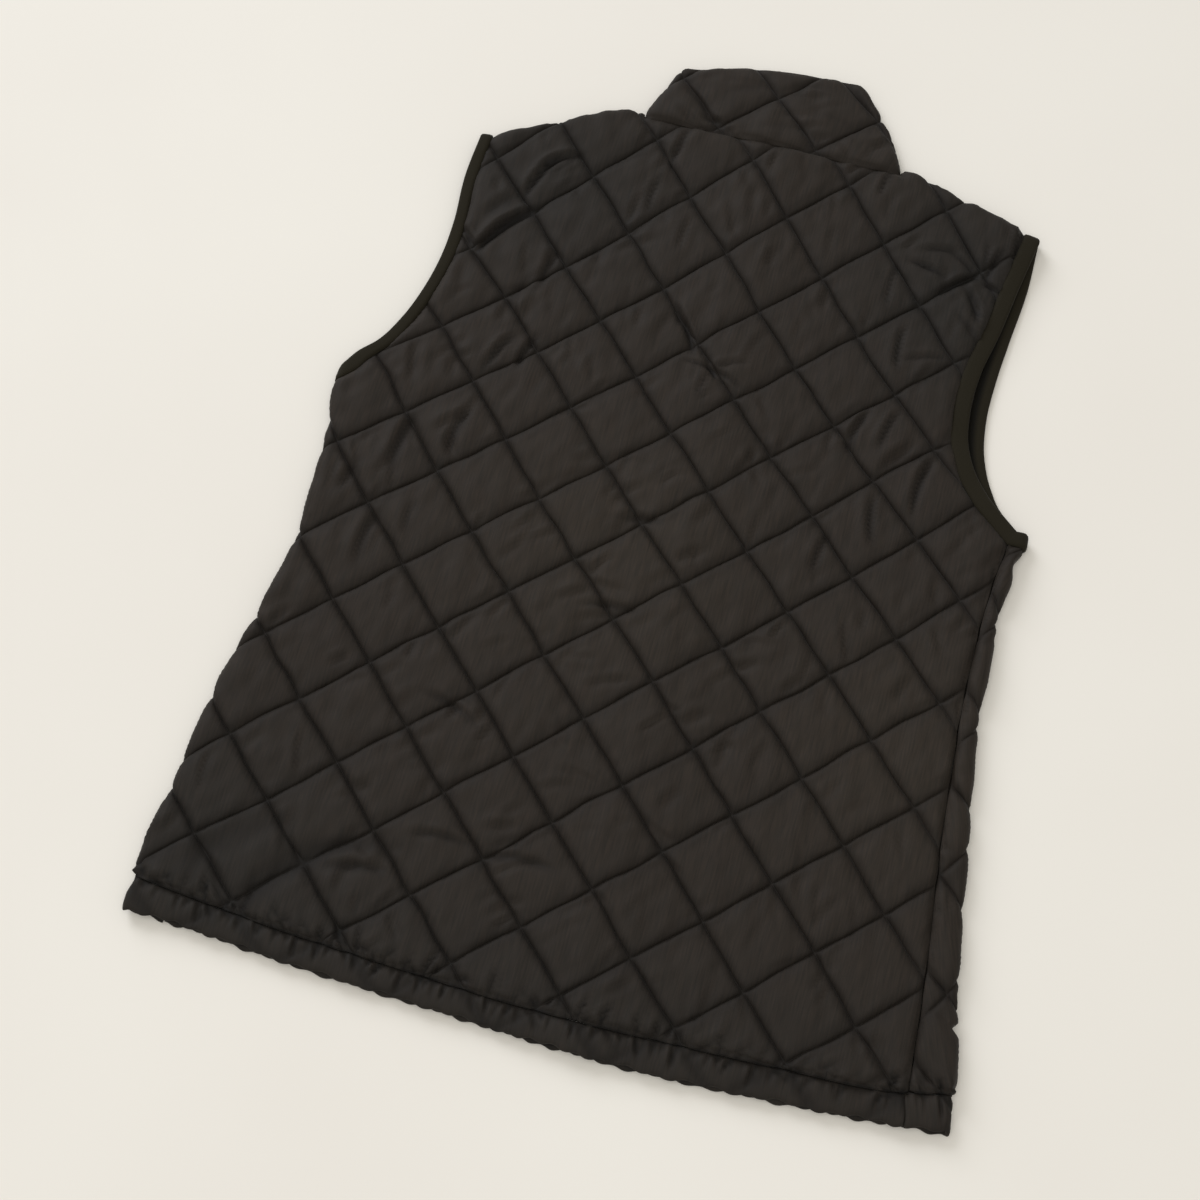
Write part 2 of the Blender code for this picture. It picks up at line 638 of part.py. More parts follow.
def pull_tab():
    """A plate with an eye for the bail.  Its object's origin is on the bar
    that it turns on, and its far end rests on the surface."""
    eye_low = -TAB_BAR / 2 - TAB_EYE[1]
    body = rounded(TAB_WIDTH, -TAB_LENGTH, TAB_BAR / 2, TAB_CORNER)
    eye = rounded(TAB_EYE[0], eye_low, -TAB_BAR / 2, TAB_EYE_CORNER)
    piece = outline("zip_pull", [body, eye], TAB, (0, SLIDER_AT, PIVOT_LEVEL), PAINTED_METAL, vest)
    piece.rotation_euler.x = math.asin((PIVOT_LEVEL - TAB / 2 - TAB_CLEAR) / TAB_LENGTH)
    return piece


clear_scene()
vest = collection("quilted_vest")
shapes = collection("cutters")
back()
front("left")
front("right")
collar()
binding("left")
binding("right")
closure = zip_frame()
zip_tapes()
zip_teeth()
zip_box()
slider()
pull_tab()
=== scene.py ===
import math
from collections import namedtuple

import bmesh
import bpy
import numpy as np
from mathutils import Matrix, geometry


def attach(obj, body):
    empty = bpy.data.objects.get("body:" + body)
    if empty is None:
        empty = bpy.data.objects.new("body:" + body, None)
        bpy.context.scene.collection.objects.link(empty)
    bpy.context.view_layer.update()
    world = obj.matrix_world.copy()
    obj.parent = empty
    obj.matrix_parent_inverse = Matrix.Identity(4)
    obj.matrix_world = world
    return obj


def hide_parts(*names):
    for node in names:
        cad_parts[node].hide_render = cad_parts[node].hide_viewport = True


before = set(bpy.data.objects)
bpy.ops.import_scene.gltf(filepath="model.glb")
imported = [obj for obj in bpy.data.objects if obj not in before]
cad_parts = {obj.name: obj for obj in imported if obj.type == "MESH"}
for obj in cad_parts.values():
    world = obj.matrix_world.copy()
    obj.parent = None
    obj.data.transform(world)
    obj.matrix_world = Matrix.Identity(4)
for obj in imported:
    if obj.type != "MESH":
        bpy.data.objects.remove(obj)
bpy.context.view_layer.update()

MM = 0.001


# ------------------------------------------------------ the table, the view and the light
# The vest lies on a cream-white table.  The camera stands over the hem's side of it and
# looks down at about 68 degrees, turned a little, so the vest leans to the right.  The
# light is soft and comes mostly from a window beyond the vest's left shoulder.
def colour(code):
    """An sRGB hex colour as the linear values that a shader takes."""
    values = [int(code[start:start + 2], 16) / 255 for start in (1, 3, 5)]
    linear = [value / 12.92 if value <= 0.04045 else ((value + 0.055) / 1.055) ** 2.4 for value in values]
    return linear + [1.0]


def new_material(name, **settings):
    """A material with these settings on its shader.  Returns it, its node tree and the shader."""
    material = bpy.data.materials.new(name)
    material.use_nodes = True
    shader = material.node_tree.nodes["Principled BSDF"]
    for title, value in settings.items():
        shader.inputs[title.replace("_", " ")].default_value = value
    return material, material.node_tree, shader


def add_node(tree, kind, **settings):
    """A shader node with its settings; a number or a colour goes on the input of that name."""
    node = tree.nodes.new(kind)
    for name, value in settings.items():
        socket = node.inputs.get(name.replace("_", " "))
        if socket is not None:
            socket.default_value = value
        else:
            setattr(node, name, value)
    return node


def add_ramp(tree, *stops):
    """A colour ramp through two or three stops, each a position and a colour."""
    node = tree.nodes.new("ShaderNodeValToRGB")
    elements = node.color_ramp.elements
    if len(stops) > 2:
        elements.new(stops[1][0])
    for element, (position, code) in zip(elements, stops):
        element.position = position
        element.color = colour(code)
    return node


def link(first, output, last, entry):
    first.id_data.links.new(first.outputs[output], last.inputs[entry])


def look_at(item, place, target, up=(0, 0, 1)):
    """Puts a camera or a lamp at a place, turned to a target."""
    back = np.subtract(place, target) / np.linalg.norm(np.subtract(place, target))
    right = np.cross(up, back)
    right = right / np.linalg.norm(right)
    rows = np.column_stack([right, np.cross(back, right), back, place])
    item.matrix_world = Matrix([*rows.tolist(), (0, 0, 0, 1)])


camera = bpy.data.objects.new("camera", bpy.data.cameras.new("camera"))
bpy.context.scene.collection.objects.link(camera)
camera.data.sensor_width = 36
camera.data.lens = 61.56
camera_place = np.array((0.09936, -0.56156, 1.25008))
camera_aim = camera_place + (-0.095679, 0.362329, -0.927126)
look_at(camera, camera_place, camera_aim, up=(-0.242705, 0.894798, 0.374742))
bpy.context.scene.camera = camera

TABLE_REACH = 4.0
TABLE_LEVEL = -0.0002       # just below what lies on it
table = bpy.data.objects.new("table", bpy.data.meshes.new("table"))
corners = [(x * TABLE_REACH, y * TABLE_REACH, TABLE_LEVEL) for x, y in ((-1, -1), (1, -1), (1, 1), (-1, 1))]
table.data.from_pydata(corners, [], [(0, 1, 2, 3)])
bpy.context.scene.collection.objects.link(table)
# Matt emulsion paint on a board, faintly mottled
painted, tree, paint = new_material("cream_matt_paint", Roughness=0.85)
place = add_node(tree, "ShaderNodeTexCoord")
mottle = add_node(tree, "ShaderNodeTexNoise", Scale=2.5, Detail=3.0)
tones = add_ramp(tree, (0.3, "#EBE8E1"), (0.7, "#EFEDE6"))
link(place, "Object", mottle, "Vector")
link(mottle, "Fac", tones, "Fac")
link(tones, "Color", paint, "Base Color")
table.data.materials.append(painted)

Lamp = namedtuple("Lamp", "name place size power tint")
LAMPS = [
    Lamp("window", (-3.9, 3.5, 3.0), 3.2, 194.0, "#F8F9FF"),
    Lamp("ceiling", (0.0, -1.2, 3.3), 3.2, 44.0, "#FFFBF5"),
]
for lamp in LAMPS:
    data = bpy.data.lights.new(lamp.name, "AREA")
    data.size = lamp.size
    data.energy = lamp.power
    data.color = colour(lamp.tint)[:3]
    item = bpy.data.objects.new(lamp.name, data)
    bpy.context.scene.collection.objects.link(item)
    look_at(item, lamp.place, (0, 0, 0))
world = bpy.data.worlds.new("room")
world.use_nodes = True
backdrop = world.node_tree.nodes["Background"]
backdrop.inputs["Color"].default_value = colour("#FBF8F2")
backdrop.inputs["Strength"].default_value = 0.5
bpy.context.scene.world = world
bpy.context.scene.view_settings.view_transform = "Standard"


# --------------------------------------------------------------- how the vest lies
# Sizes in millimetres, from the middle of the hem: x to the right of someone who looks
# down at the back, y to the collar.  The back lies on the two fronts, the cloth is rolled
# over at the sides, and the vest lies a little turned, with its right side seam on top.
MIDDLE = np.array((-0.75, 353.7, 0.0))     # the part's origin in these sizes
LAYERS = 8.5                # height of the back's outer face
ROLL = 5.5                  # how far a rolled edge reaches past its flat part
ARC = 16.9                  # length of cloth in a roll, half round
QUARTER = 8.4               # the same to the seam halfway round a shoulder
SIDE_PUFF = 2.0             # extra height of the back beside a rolled edge
PUFF_REACH = 40.0           # how far in from the edge that height fades
ZIP_RIDGE = 2.3             # height that the zip beneath gives the back
ZIP_RIDGE_REACH = 26.0
NECK_SEAM = 648.0
NECK_RISE_START = 520.0     # the back rises 1 mm from here to the neck seam
HEM_TURNS = (-264.5, 263.0)  # where the hem turns over at the sides
ZIP_AT_HEM = 29.0           # the zip's place across the vest at height 0
ZIP_LEAN = 0.0452           # and how far it leans to the left for each unit up
INNER_FACE = -3.0           # the lining, from a panel's smooth outer face

Section = namedtuple("Section", "height left right seam")
BODY = [
    Section(-10, -261.5, 260.0, 232.0),
    Section(0, -261.5, 260.0, 231.5),
    Section(45, -261.0, 254.0, 228.5),
    Section(90, -256.5, 246.0, 226.0),
    Section(135, -253.5, 239.5, 222.0),
    Section(180, -248.5, 234.5, 218.0),
    Section(215, -241.5, 229.5, 216.0),
    Section(265, -235.5, 225.0, 213.5),
    Section(310, -236.5, 224.0, 213.5),
    Section(350, -240.0, 225.0, 215.5),
    Section(392, -247.5, 234.5, 221.0),
]
# Where each panel's armhole edge is, from its underarm (0) to its shoulder (1)
Armhole = namedtuple("Armhole", "rise back_left back_right front_left front_right")
ARMHOLE = [
    Armhole(0.00, -242.0, 219.9, -230.3, 226.9),
    Armhole(0.04, -234.5, 209.0, -212.0, 215.0),
    Armhole(0.08, -229.0, 198.5, -197.0, 204.5),
    Armhole(0.15, -217.5, 184.5, -180.0, 193.5),
    Armhole(0.25, -207.5, 172.5, -167.5, 184.0),
    Armhole(0.38, -199.5, 167.3, -163.0, 179.3),
    Armhole(0.52, -195.0, 168.5, -166.5, 180.0),
    Armhole(0.66, -194.5, 175.0, -172.5, 183.0),
    Armhole(0.84, -197.5, 181.5, -184.0, 187.5),
    Armhole(1.00, -196.0, 188.0, -196.0, 188.0),
]
BINDING_WIDTH = {"left": 7.0, "right": 10.0}
UNDERARM = {"back_left": 390.0, "back_right": 387.0, "front_left": 379.0, "front_right": 385.0}
SIDE_TOP = {"left": 379.0, "right": 387.0}      # where the side seams end
SHOULDER_ENDS = {"left": (-97.0, -196.0), "right": (93.0, 188.0)}
HEM = [(-262, 3.5), (-220, 2.5), (-160, -1.8), (-51, -6.3), (59, -9.6), (152, -5.5), (222, -0.5),
       (261, 3.0)]
HEM_STITCHING = [(-262, 24.5), (-231, 21.5), (-160, 15.5), (-88, 12.0), (-31, 9.6), (28, 9.0),
                 (93, 11.5), (157, 14.2), (217, 17.5), (262, 25.5)]
SHOULDERS = [(-196.0, 600.5), (-155.0, 624.0), (-130.0, 636.5), (-110.0, 645.0), (-96.4, NECK_SEAM),
             (92.4, NECK_SEAM), (115.0, 643.5), (135.0, 636.0), (155.0, 629.5), (188.0, 619.5)]


def through(points, at):
    """A smooth curve through table points: cubic pieces whose slope at a point is the mean
    slope of its two neighbours."""
    points = np.asarray(points, dtype=float)
    keys, values = points[:, 0], points[:, 1]
    slopes = np.gradient(values, keys)
    at = np.clip(np.asarray(at, dtype=float), keys[0], keys[-1])
    piece = np.clip(np.searchsorted(keys, at, side="right") - 1, 0, len(keys) - 2)
    width = keys[piece + 1] - keys[piece]
    t = (at - keys[piece]) / width
    start = (1 + 2 * t) * (1 - t) ** 2 * values[piece] + t * (1 - t) ** 2 * width * slopes[piece]
    end = t ** 2 * (3 - 2 * t) * values[piece + 1] - t ** 2 * (1 - t) * width * slopes[piece + 1]
    return start + end


def body_line(name, height):
    return through([(row.height, getattr(row, name)) for row in BODY], height)


def hem_height(line, x):
    """Height of the hem or of its stitching; beyond a side's roll the cloth lies back over
    itself, and so does the line."""
    x = np.minimum(x, 2 * HEM_TURNS[1] - x)
    return through(line, np.maximum(x, 2 * HEM_TURNS[0] - x))


def left_seam(height):
    return body_line("left", height) + body_line("right", height) - body_line("seam", height)


def zip_line(height):
    return ZIP_AT_HEM - ZIP_LEAN * height


def smooth(t):
    """Runs from 0 to 1, and starts and ends level."""
    t = np.clip(t, 0, 1)
    return t * t * (3 - 2 * t)


def top_height(x, y):
    """Height of the back's outer face: higher beside the rolled edges, over the zip and at
    the neck seam."""
    from_edge = np.minimum(x - body_line("left", y), body_line("right", y) - x)
    from_edge = np.maximum(np.minimum(from_edge, through(SHOULDERS, x) - y), 0)
    return (LAYERS + SIDE_PUFF * np.exp(-(from_edge / PUFF_REACH) ** 2)
            + ZIP_RIDGE * np.exp(-((x - zip_line(y)) / ZIP_RIDGE_REACH) ** 2)
            + smooth((y - NECK_RISE_START) / (NECK_SEAM - NECK_RISE_START)))


def drawn_flat(height, turn):
    """The cloth's outward height where it is drawn tight round a rolled edge: its outer face
    is evened out halfway round."""
    evened = INNER_FACE + (height - INNER_FACE) * (1 - 0.35 * np.sin(turn)) + 1.1 * np.sin(turn)
    return np.where(height > INNER_FACE, evened, height)


def armhole_edge(name, count=60):
    """Points up a panel's armhole edge, from the underarm to the shoulder."""
    rise = np.linspace(0, 1, count) ** 1.3
    left = name.endswith("left")
    shoulder = SHOULDERS[0 if left else -1][1]
    x = through([(row.rise, getattr(row, name)) for row in ARMHOLE], rise)
    if left:
        x = x - (BINDING_WIDTH["right"] - BINDING_WIDTH["left"]) * smooth(rise * 8)
    return np.stack([x, UNDERARM[name] + rise * (shoulder - UNDERARM[name])], axis=1)


# ------------------------------------------------------------------- the quilted cloth
# Shell, wadding and lining are sewn together along a lattice of squares, about 50 mm to a
# side and set on their points.  Each panel is cut from such a lattice and its shell is
# blown up by the wadding between the seams, which are pinned down; then it is laid.
SQUARE = 50.0
SEAM_DEPTH = -2.4           # the shell, from its smooth face, in a seam that runs down to the right
SOFT_SEAM_DEPTH = -1.7      # the same along a seam that runs up to the right
EDGE_DEPTH = -1.5           # the shell along a panel's edge
SLACK = 0.035               # share by which the shell is longer than the plan
CREST = 1.3                 # height that the wadding pushes the shell towards
PUSH = 0.02                 # share of the way there that it is pushed in a round
CARRY = 0.9                 # share of its speed that the cloth keeps
BIAS = 0.35                 # how stiff the cloth is across its squares, where 1 is along them
BENDING = 0.01              # how strongly it resists a bend
ROUNDS = 150
DOME = 1.9                  # added in the middle of a square
DEEPEST = -2.8              # the shell in a crease
# Grid lines from a seam to the middle of a square
STEPS_IN_CELL = (0.0, 0.6, 1.5, 2.7, 4.2, 6.0, 8.0, 10.2, 12.6, 15.0, 17.5, 20.0, 22.5, 25.0)
LINING_STEP = 6             # the lining has one grid line for this many of the shell's
RIM_INSET = 0.9             # a panel's shell ends this far inside its outline
RIM_TURNS = (40, 90, 140)   # degrees round a panel's rounded edge
UPRIGHT = 80.0              # the way most creases run, in degrees
CREASE_SPACING = 24.0       # there is a chance crease for each square of this side

# A crossing of two seams, and the steps from it to the next one down and up to the right
Quilting = namedtuple("Quilting", "start down up")


def seam_distance(*cells):
    """How far points are from the nearest seam, from how many squares they are along."""
    return SQUARE * np.minimum.reduce([np.abs(part - np.round(part)) for part in cells])


def inside(points, outline):
    """Which points lie in a closed outline: a line from them crosses it an odd number of times."""
    x, y = points[..., 0], points[..., 1]
    within = np.zeros(x.shape, bool)
    for (ax, ay), (bx, by) in zip(outline, np.roll(outline, -1, axis=0)):
        if ay != by:
            within ^= ((ay > y) != (by > y)) & (x < ax + (y - ay) * (bx - ax) / (by - ay))
    return within


def meeting(first, last, outline):
    """Where lines from first to last meet an outline, as a share of their length."""
    share = np.ones(len(first))
    step = last - first
    for a, b in zip(outline, np.roll(outline, -1, axis=0)):
        side = b - a
        across = step[:, 0] * side[1] - step[:, 1] * side[0]
        across = np.where(np.abs(across) < 1e-9, 1e-9, across)
        t = ((a - first)[:, 0] * side[1] - (a - first)[:, 1] * side[0]) / across
        s = ((a - first)[:, 0] * step[:, 1] - (a - first)[:, 1] * step[:, 0]) / across
        share = np.where((t >= 0) & (t < share) & (s >= 0) & (s <= 1), t, share)
    return share


def lattice_grid(outline, quilting, pull):
    """A grid over an outline whose lines run along the quilting's seams, closer beside them.
    Returns the grid's points, and how many cells each is from the lattice's start."""
    half = np.array(STEPS_IN_CELL) / SQUARE
    cell = np.concatenate([half[:-1], 1 - half[:0:-1]])
    frame_of_cells = np.linalg.inv(np.array([quilting.down, quilting.up]).T)
    corners = (outline - quilting.start) @ frame_of_cells.T
    low, high = np.floor(corners.min(0) - 0.5), np.ceil(corners.max(0) + 0.5)
    lines = [np.append((np.arange(a, b)[:, None] + cell).ravel(), b) for a, b in zip(low, high)]
    i, j = np.meshgrid(*lines, indexing="ij")
    plan = quilting.start + i[..., None] * quilting.down + j[..., None] * quilting.up
    return pull(plan), i, j


def trim(plan, outline):
    """Cuts a grid to an outline: where a grid line crosses it, the nearer grid point is
    moved onto it.  Returns the points, which of them are kept and which are on the edge."""
    within = inside(plan, outline).ravel()
    index = np.arange(within.size).reshape(plan.shape[:2])
    pairs = np.vstack([np.stack([index[:-1].ravel(), index[1:].ravel()], 1),
                       np.stack([index[:, :-1].ravel(), index[:, 1:].ravel()], 1)])
    pairs = pairs[within[pairs[:, 0]] != within[pairs[:, 1]]]
    points = plan.reshape(-1, 2)
    first, last = points[pairs[:, 0]], points[pairs[:, 1]]
    share = meeting(first, last, outline)
    crossing = first + share[:, None] * (last - first)
    nearer = np.where(share < 0.5, pairs[:, 0], pairs[:, 1])
    distance = np.minimum(share, 1 - share) * np.linalg.norm(last - first, axis=1)
    order = np.argsort(-distance)
    points = points.copy()
    points[nearer[order]] = crossing[order]
    edge = np.zeros(within.size, bool)
    edge[nearer] = True
    return points.reshape(plan.shape), (within | edge).reshape(index.shape), edge.reshape(index.shape)


def grid_faces(plan, kept, outline):
    """The faces between kept grid points: squares, and triangles where a corner is cut off."""
    index = np.arange(kept.size).reshape(kept.shape)
    ring = np.stack([index[:-1, :-1], index[1:, :-1], index[1:, 1:], index[:-1, 1:]], -1).reshape(-1, 4)
    held = kept.ravel()[ring]
    middle = (plan.reshape(-1, 2)[ring] * held[..., None]).sum(1) / np.maximum(held.sum(1), 1)[:, None]
    wanted = inside(middle, outline)
    squares = ring[(held.sum(1) == 4) & wanted]
    cut = (held.sum(1) == 3) & wanted
    triangles = ring[cut][held[cut]].reshape(-1, 3)
    return squares, triangles


def edge_loop(squares, triangles):
    """The points round the outside of a surface, in order, anticlockwise from outside."""
    sides = np.vstack([np.stack([faces, np.roll(faces, -1, axis=1)], -1).reshape(-1, 2)
                       for faces in (squares, triangles)]).astype(np.int64)
    size = sides.max() + 1
    alone = sides[~np.isin(sides[:, 0] * size + sides[:, 1], sides[:, 1] * size + sides[:, 0])]
    following = dict(alone.tolist())
    loop = [int(alone[0, 0])]
    while following[loop[-1]] != loop[0]:
        loop.append(following[loop[-1]])
    return np.array(loop)


def blow_up(plan, kept, pinned, height):
    """The shell between its seams.  Each grid point is pushed up towards the crest, and
    every link to its neighbours pulls it back to the cloth's own length, which is longer
    than the plan by the slack; so each square becomes a soft pillow with steep sides."""
    free = (kept & ~pinned).astype(np.float32)[..., None]
    cloth = np.dstack([plan, height]).astype(np.float32)
    before = cloth.copy()
    links = []
    for di, dj, stiff in ((1, 0, 1.0), (0, 1, 1.0), (1, 1, BIAS), (1, -1, BIAS)):
        for start in (0, 1):
            if di:
                a_rows, b_rows = slice(start, -1, 2), slice(start + 1, None, 2)
                a_columns = slice(0, None) if dj == 0 else slice(0, -1) if dj > 0 else slice(1, None)
                b_columns = slice(0, None) if dj == 0 else slice(1, None) if dj > 0 else slice(0, -1)
            else:
                a_rows = b_rows = slice(None)
                a_columns, b_columns = slice(start, -1, 2), slice(start + 1, None, 2)
            a, b = (a_rows, a_columns), (b_rows, b_columns)
            rest = np.linalg.norm(plan[b] - plan[a], axis=-1)[..., None] * (1 + SLACK)
            both = (kept[a] & kept[b])[..., None] * stiff / np.maximum(free[a] + free[b], 1)
            links.append((a, b, rest.astype(np.float32), (both * free[a]).astype(np.float32),
                          (both * free[b]).astype(np.float32)))
    whole = {}
    for axis in (0, 1):
        shifted = np.roll(kept, 1, axis) & kept & np.roll(kept, -1, axis) & ~pinned
        whole[axis] = shifted.astype(np.float32)[..., None]
    for _ in range(ROUNDS):
        speed = (cloth - before) * CARRY
        before = cloth.copy()
        cloth += free * speed
        cloth[..., 2] += free[..., 0] * PUSH * (CREST - cloth[..., 2])
        for a, b, rest, share_a, share_b in links:
            between = cloth[b] - cloth[a]
            length = np.sqrt((between ** 2).sum(-1, keepdims=True)) + 1e-6
            pull = between * (1 - rest / length)
            cloth[a] += share_a * pull
            cloth[b] -= share_b * pull
        for axis in (0, 1):
            bend = (np.roll(cloth, 1, axis) + np.roll(cloth, -1, axis) - 2 * cloth) * whole[axis]
            cloth -= free * BENDING * (np.roll(bend, 1, axis) + np.roll(bend, -1, axis) - 2 * bend)
    return cloth


def new_mesh(name, points, faces, **maps):
    """A smooth-shaded object from points in millimetres from the hem's middle, with the UV
    maps that are given, each as a pair of values for every point."""
    mesh = bpy.data.meshes.new(name)
    mesh.from_pydata(((points - MIDDLE) * MM).tolist(), [], faces)
    mesh.shade_smooth()
    corner = np.zeros(len(mesh.loops), np.int32)
    mesh.loops.foreach_get("vertex_index", corner)
    for title, values in maps.items():
        mesh.uv_layers.new(name=title).data.foreach_set("uv", values[corner].astype(np.float32).ravel())
    piece = bpy.data.objects.new(name, mesh)
    bpy.context.scene.collection.objects.link(piece)
    return piece


Crease = namedtuple("Crease", "x y angle length width depth")


def creased(x, y, creases):
    """Height that creases give the cloth: each is a soft trough, with a lower ridge along
    one side of it, that fades out at its ends."""
    total = np.zeros(len(x))
    for crease in creases:
        right, up = x - crease.x, y - crease.y
        near = np.flatnonzero((np.abs(right) + np.abs(up)) < crease.length + 4 * crease.width)
        right, up = right[near], up[near]
        way = math.radians(crease.angle)
        along = right * math.cos(way) + up * math.sin(way)
        side = (up * math.cos(way) - right * math.sin(way) + 0.006 * along ** 2) / crease.width
        fade = np.exp(-(2 * along / crease.length) ** 4)
        total[near] += crease.depth * fade * (0.55 * np.exp(-(side - 1.5) ** 2) - np.exp(-side ** 2))
    return total


def small_creases(outline, seed, upright):
    """Chance creases inside the quilting's squares.  Upright says how steeply they lie at a
    place, in degrees.  A few are plain, most are faint."""
    rng = np.random.default_rng(seed)
    low, high = outline.min(0), outline.max(0)
    count = int((high - low).prod() / CREASE_SPACING ** 2)
    places = low + rng.uniform(0, 1, (count, 2)) * (high - low)
    return [Crease(x, y, upright(x, y) + rng.normal(0, 24), rng.uniform(12, 30), rng.uniform(2.0, 3.6),
                   0.5 + 1.9 * rng.uniform(0, 1) ** 2) for x, y in places]


def rumpled(x, y, seed):
    """The cloth's slight unevenness: low waves of 10 to 30 mm, most of them across the way
    the creases run."""
    rng = np.random.default_rng(seed)
    total = np.zeros(len(x))
    for length in np.geomspace(10, 30, 18):
        way = math.radians(UPRIGHT + 90 + rng.normal(0, 35))
        phase = rng.uniform(0, 6.3) + 2.0 * np.sin((x * rng.normal() + y * rng.normal()) / 40)
        along = x * math.cos(way) + y * math.sin(way)
        total += 0.0055 * length * np.sin(along * 2 * math.pi / length + phase)
    return total


# Where the cloth's colour is lighter and warmer, or darker and cooler, than elsewhere: a
# place, how far it reaches across and up, and how much
BROAD_TONE_SPOTS = [(-30, 310, 90, 90, 0.5), (178, 225, 70, 80, 0.5), (-145, 575, 90, 70, -0.42),
               (155, 570, 70, 80, -0.5), (-225, 60, 90, 80, -0.35), (0, 0, 300, 60, -0.35)]


def broad_tone(x, y):
    """How light and warm the cloth's colour is, from 0 to 1: most in the middle of the back
    and at its right side, least on the shoulders and at the hem.  Each spot adds a bell-shaped share."""
    total = 0.5 + 0 * x
    for middle, height, across, up, share in BROAD_TONE_SPOTS:
        total = total + share * np.exp(-((x - middle) / across) ** 2 - ((y - height) / up) ** 2)
    return np.clip(total, 0, 1)


def lining_faces(flat, loop, chosen):
    """Triangles that fill an edge loop, through a few chosen points inside it."""
    points = np.concatenate([loop, np.setdiff1d(chosen, loop)])
    found = geometry.delaunay_2d_cdt(flat[points].tolist(), [], [list(range(len(loop)))], 1, 1e-6)
    origin = np.array([points[sources[0]] for sources in found[3]])
    return origin[np.array(found[2])]


def pinned_height(from_seam, from_crisp, edge):
    """Height of the shell where it is sewn down: seams that run down are the deeper ones."""
    seam = SOFT_SEAM_DEPTH + (SEAM_DEPTH - SOFT_SEAM_DEPTH) * np.exp(-(from_crisp / 6) ** 2)
    return np.where(edge, EDGE_DEPTH + (SEAM_DEPTH - EDGE_DEPTH) * np.exp(-(from_seam / 4) ** 2), seam)


def rounded_rim(flat, loop, upper, lower):
    """Rows of points round a panel's edge, from the shell's height there to the lining's."""
    step = flat[np.roll(loop, -1)] - flat[np.roll(loop, 1)]
    outwards = np.stack([step[:, 1], -step[:, 0]], axis=1)
    outwards /= np.linalg.norm(outwards, axis=1)[:, None]
    radius = (upper[loop] - lower[loop]) / 2
    return [np.column_stack([flat[loop] + outwards * (radius * math.sin(turn))[:, None],
                             upper[loop] - radius * (1 - math.cos(turn))]) for turn in np.radians(RIM_TURNS)]


def relief(outer, cells, free, chance, creases, seed):
    """The shell's height with its domes, puckers and creases, and the painted shade of the
    given creases' troughs, from 0 to 1.  Chance creases stay between the seams; the others cross them."""
    x, y, height = outer.T
    from_seam = seam_distance(*cells.T)
    dome = np.prod(4 * (cells % 1) * (1 - cells % 1), axis=1)
    away = 1 - np.exp(-(from_seam / 4) ** 2)
    puckers = np.sin(x * 0.83 + 3 * np.sin(y * 0.11)) * np.sin(y * 0.71 + 3 * np.sin(x * 0.13))
    height = height + DOME * dome * free
    height += away * (creased(x, y, chance) + rumpled(x, y, seed))
    height += 0.45 * puckers * np.exp(-((from_seam - 3) / 3) ** 2) * free
    # Painted shade: the deeper a given crease's trough, the darker its colour
    sunk = creased(x, y, creases)
    return np.maximum(height + sunk, DEEPEST), np.clip(-sunk / 4, 0, 1)


def quilted(name, outline, quilting, pull, lay, seed, creases=(), steep=lambda x, y: UPRIGHT):
    """A quilted panel as a closed mesh: its shell, a rounded edge and its lining, all laid
    as one.  What would press into the table lies flat on it."""
    grid, i, j = lattice_grid(outline, quilting, pull)
    plan, kept, edge = trim(grid, outline)
    squares, triangles = grid_faces(plan, kept, outline)
    from_seam = seam_distance(i, j)
    height = pinned_height(from_seam, seam_distance(j), edge)
    shell = blow_up(plan, kept, (from_seam < 1e-6) | edge, height)
    used = np.unique(np.concatenate([squares.ravel(), triangles.ravel()]))
    number = np.full(edge.size, -1)
    number[used] = np.arange(len(used))
    loop = number[edge_loop(squares, triangles)]
    flat, free = plan.reshape(-1, 2)[used], ~edge.ravel()[used]
    cells = np.stack([i, j], axis=-1).reshape(-1, 2)[used]
    outer = shell.reshape(-1, 3)[used].astype(float)
    lining = INNER_FACE - 0.3 * (outer[:, 2] - SEAM_DEPTH)
    rim = rounded_rim(flat, loop, outer[:, 2], lining)
    chance = small_creases(outline, seed, steep)
    outer[:, 2], shade = relief(outer, cells, free, chance, creases, seed)
    row, column = np.indices(kept.shape)
    sparse = ((row % LINING_STEP == 0) & (column % LINING_STEP == 0)).ravel()[used]
    fill = lining_faces(flat, loop, np.flatnonzero(sparse & free))
    inner_points = np.unique(fill)
    parts = (outer, *rim, np.column_stack([flat, lining])[inner_points])
    points = np.vstack([lay(*part.T) for part in parts])
    points[:, 2] = np.maximum(points[:, 2], 0)
    cloth_plan = np.vstack([flat, *[row[:, :2] for row in rim], flat[inner_points]]) * MM
    cells = np.vstack([cells, *[cells[loop]] * len(rim), cells[inner_points]])
    # The shade map: the painted shade of the creases, and the cloth's broad tone
    shade = np.concatenate([shade, *[shade[loop]] * len(rim), np.zeros(len(inner_points))])
    shade = np.stack([shade, broad_tone(points[:, 0], points[:, 1])], axis=1)
    rim_rows = len(used) + np.arange(len(rim) * len(loop)).reshape(len(rim), -1)
    inner = np.zeros(len(used), int)
    inner[inner_points] = len(used) + rim_rows.size + np.arange(len(inner_points))
    rows = [loop, *rim_rows, inner[loop]]
    faces = number[squares].tolist() + number[triangles].tolist() + inner[fill[:, ::-1]].tolist()
    for upper, lower in zip(rows[:-1], rows[1:]):
        faces += np.stack([upper, lower, np.roll(lower, -1), np.roll(upper, -1)], axis=1).tolist()
    return new_mesh(name, points, faces, cloth=cloth_plan, cells=cells, shade=shade)


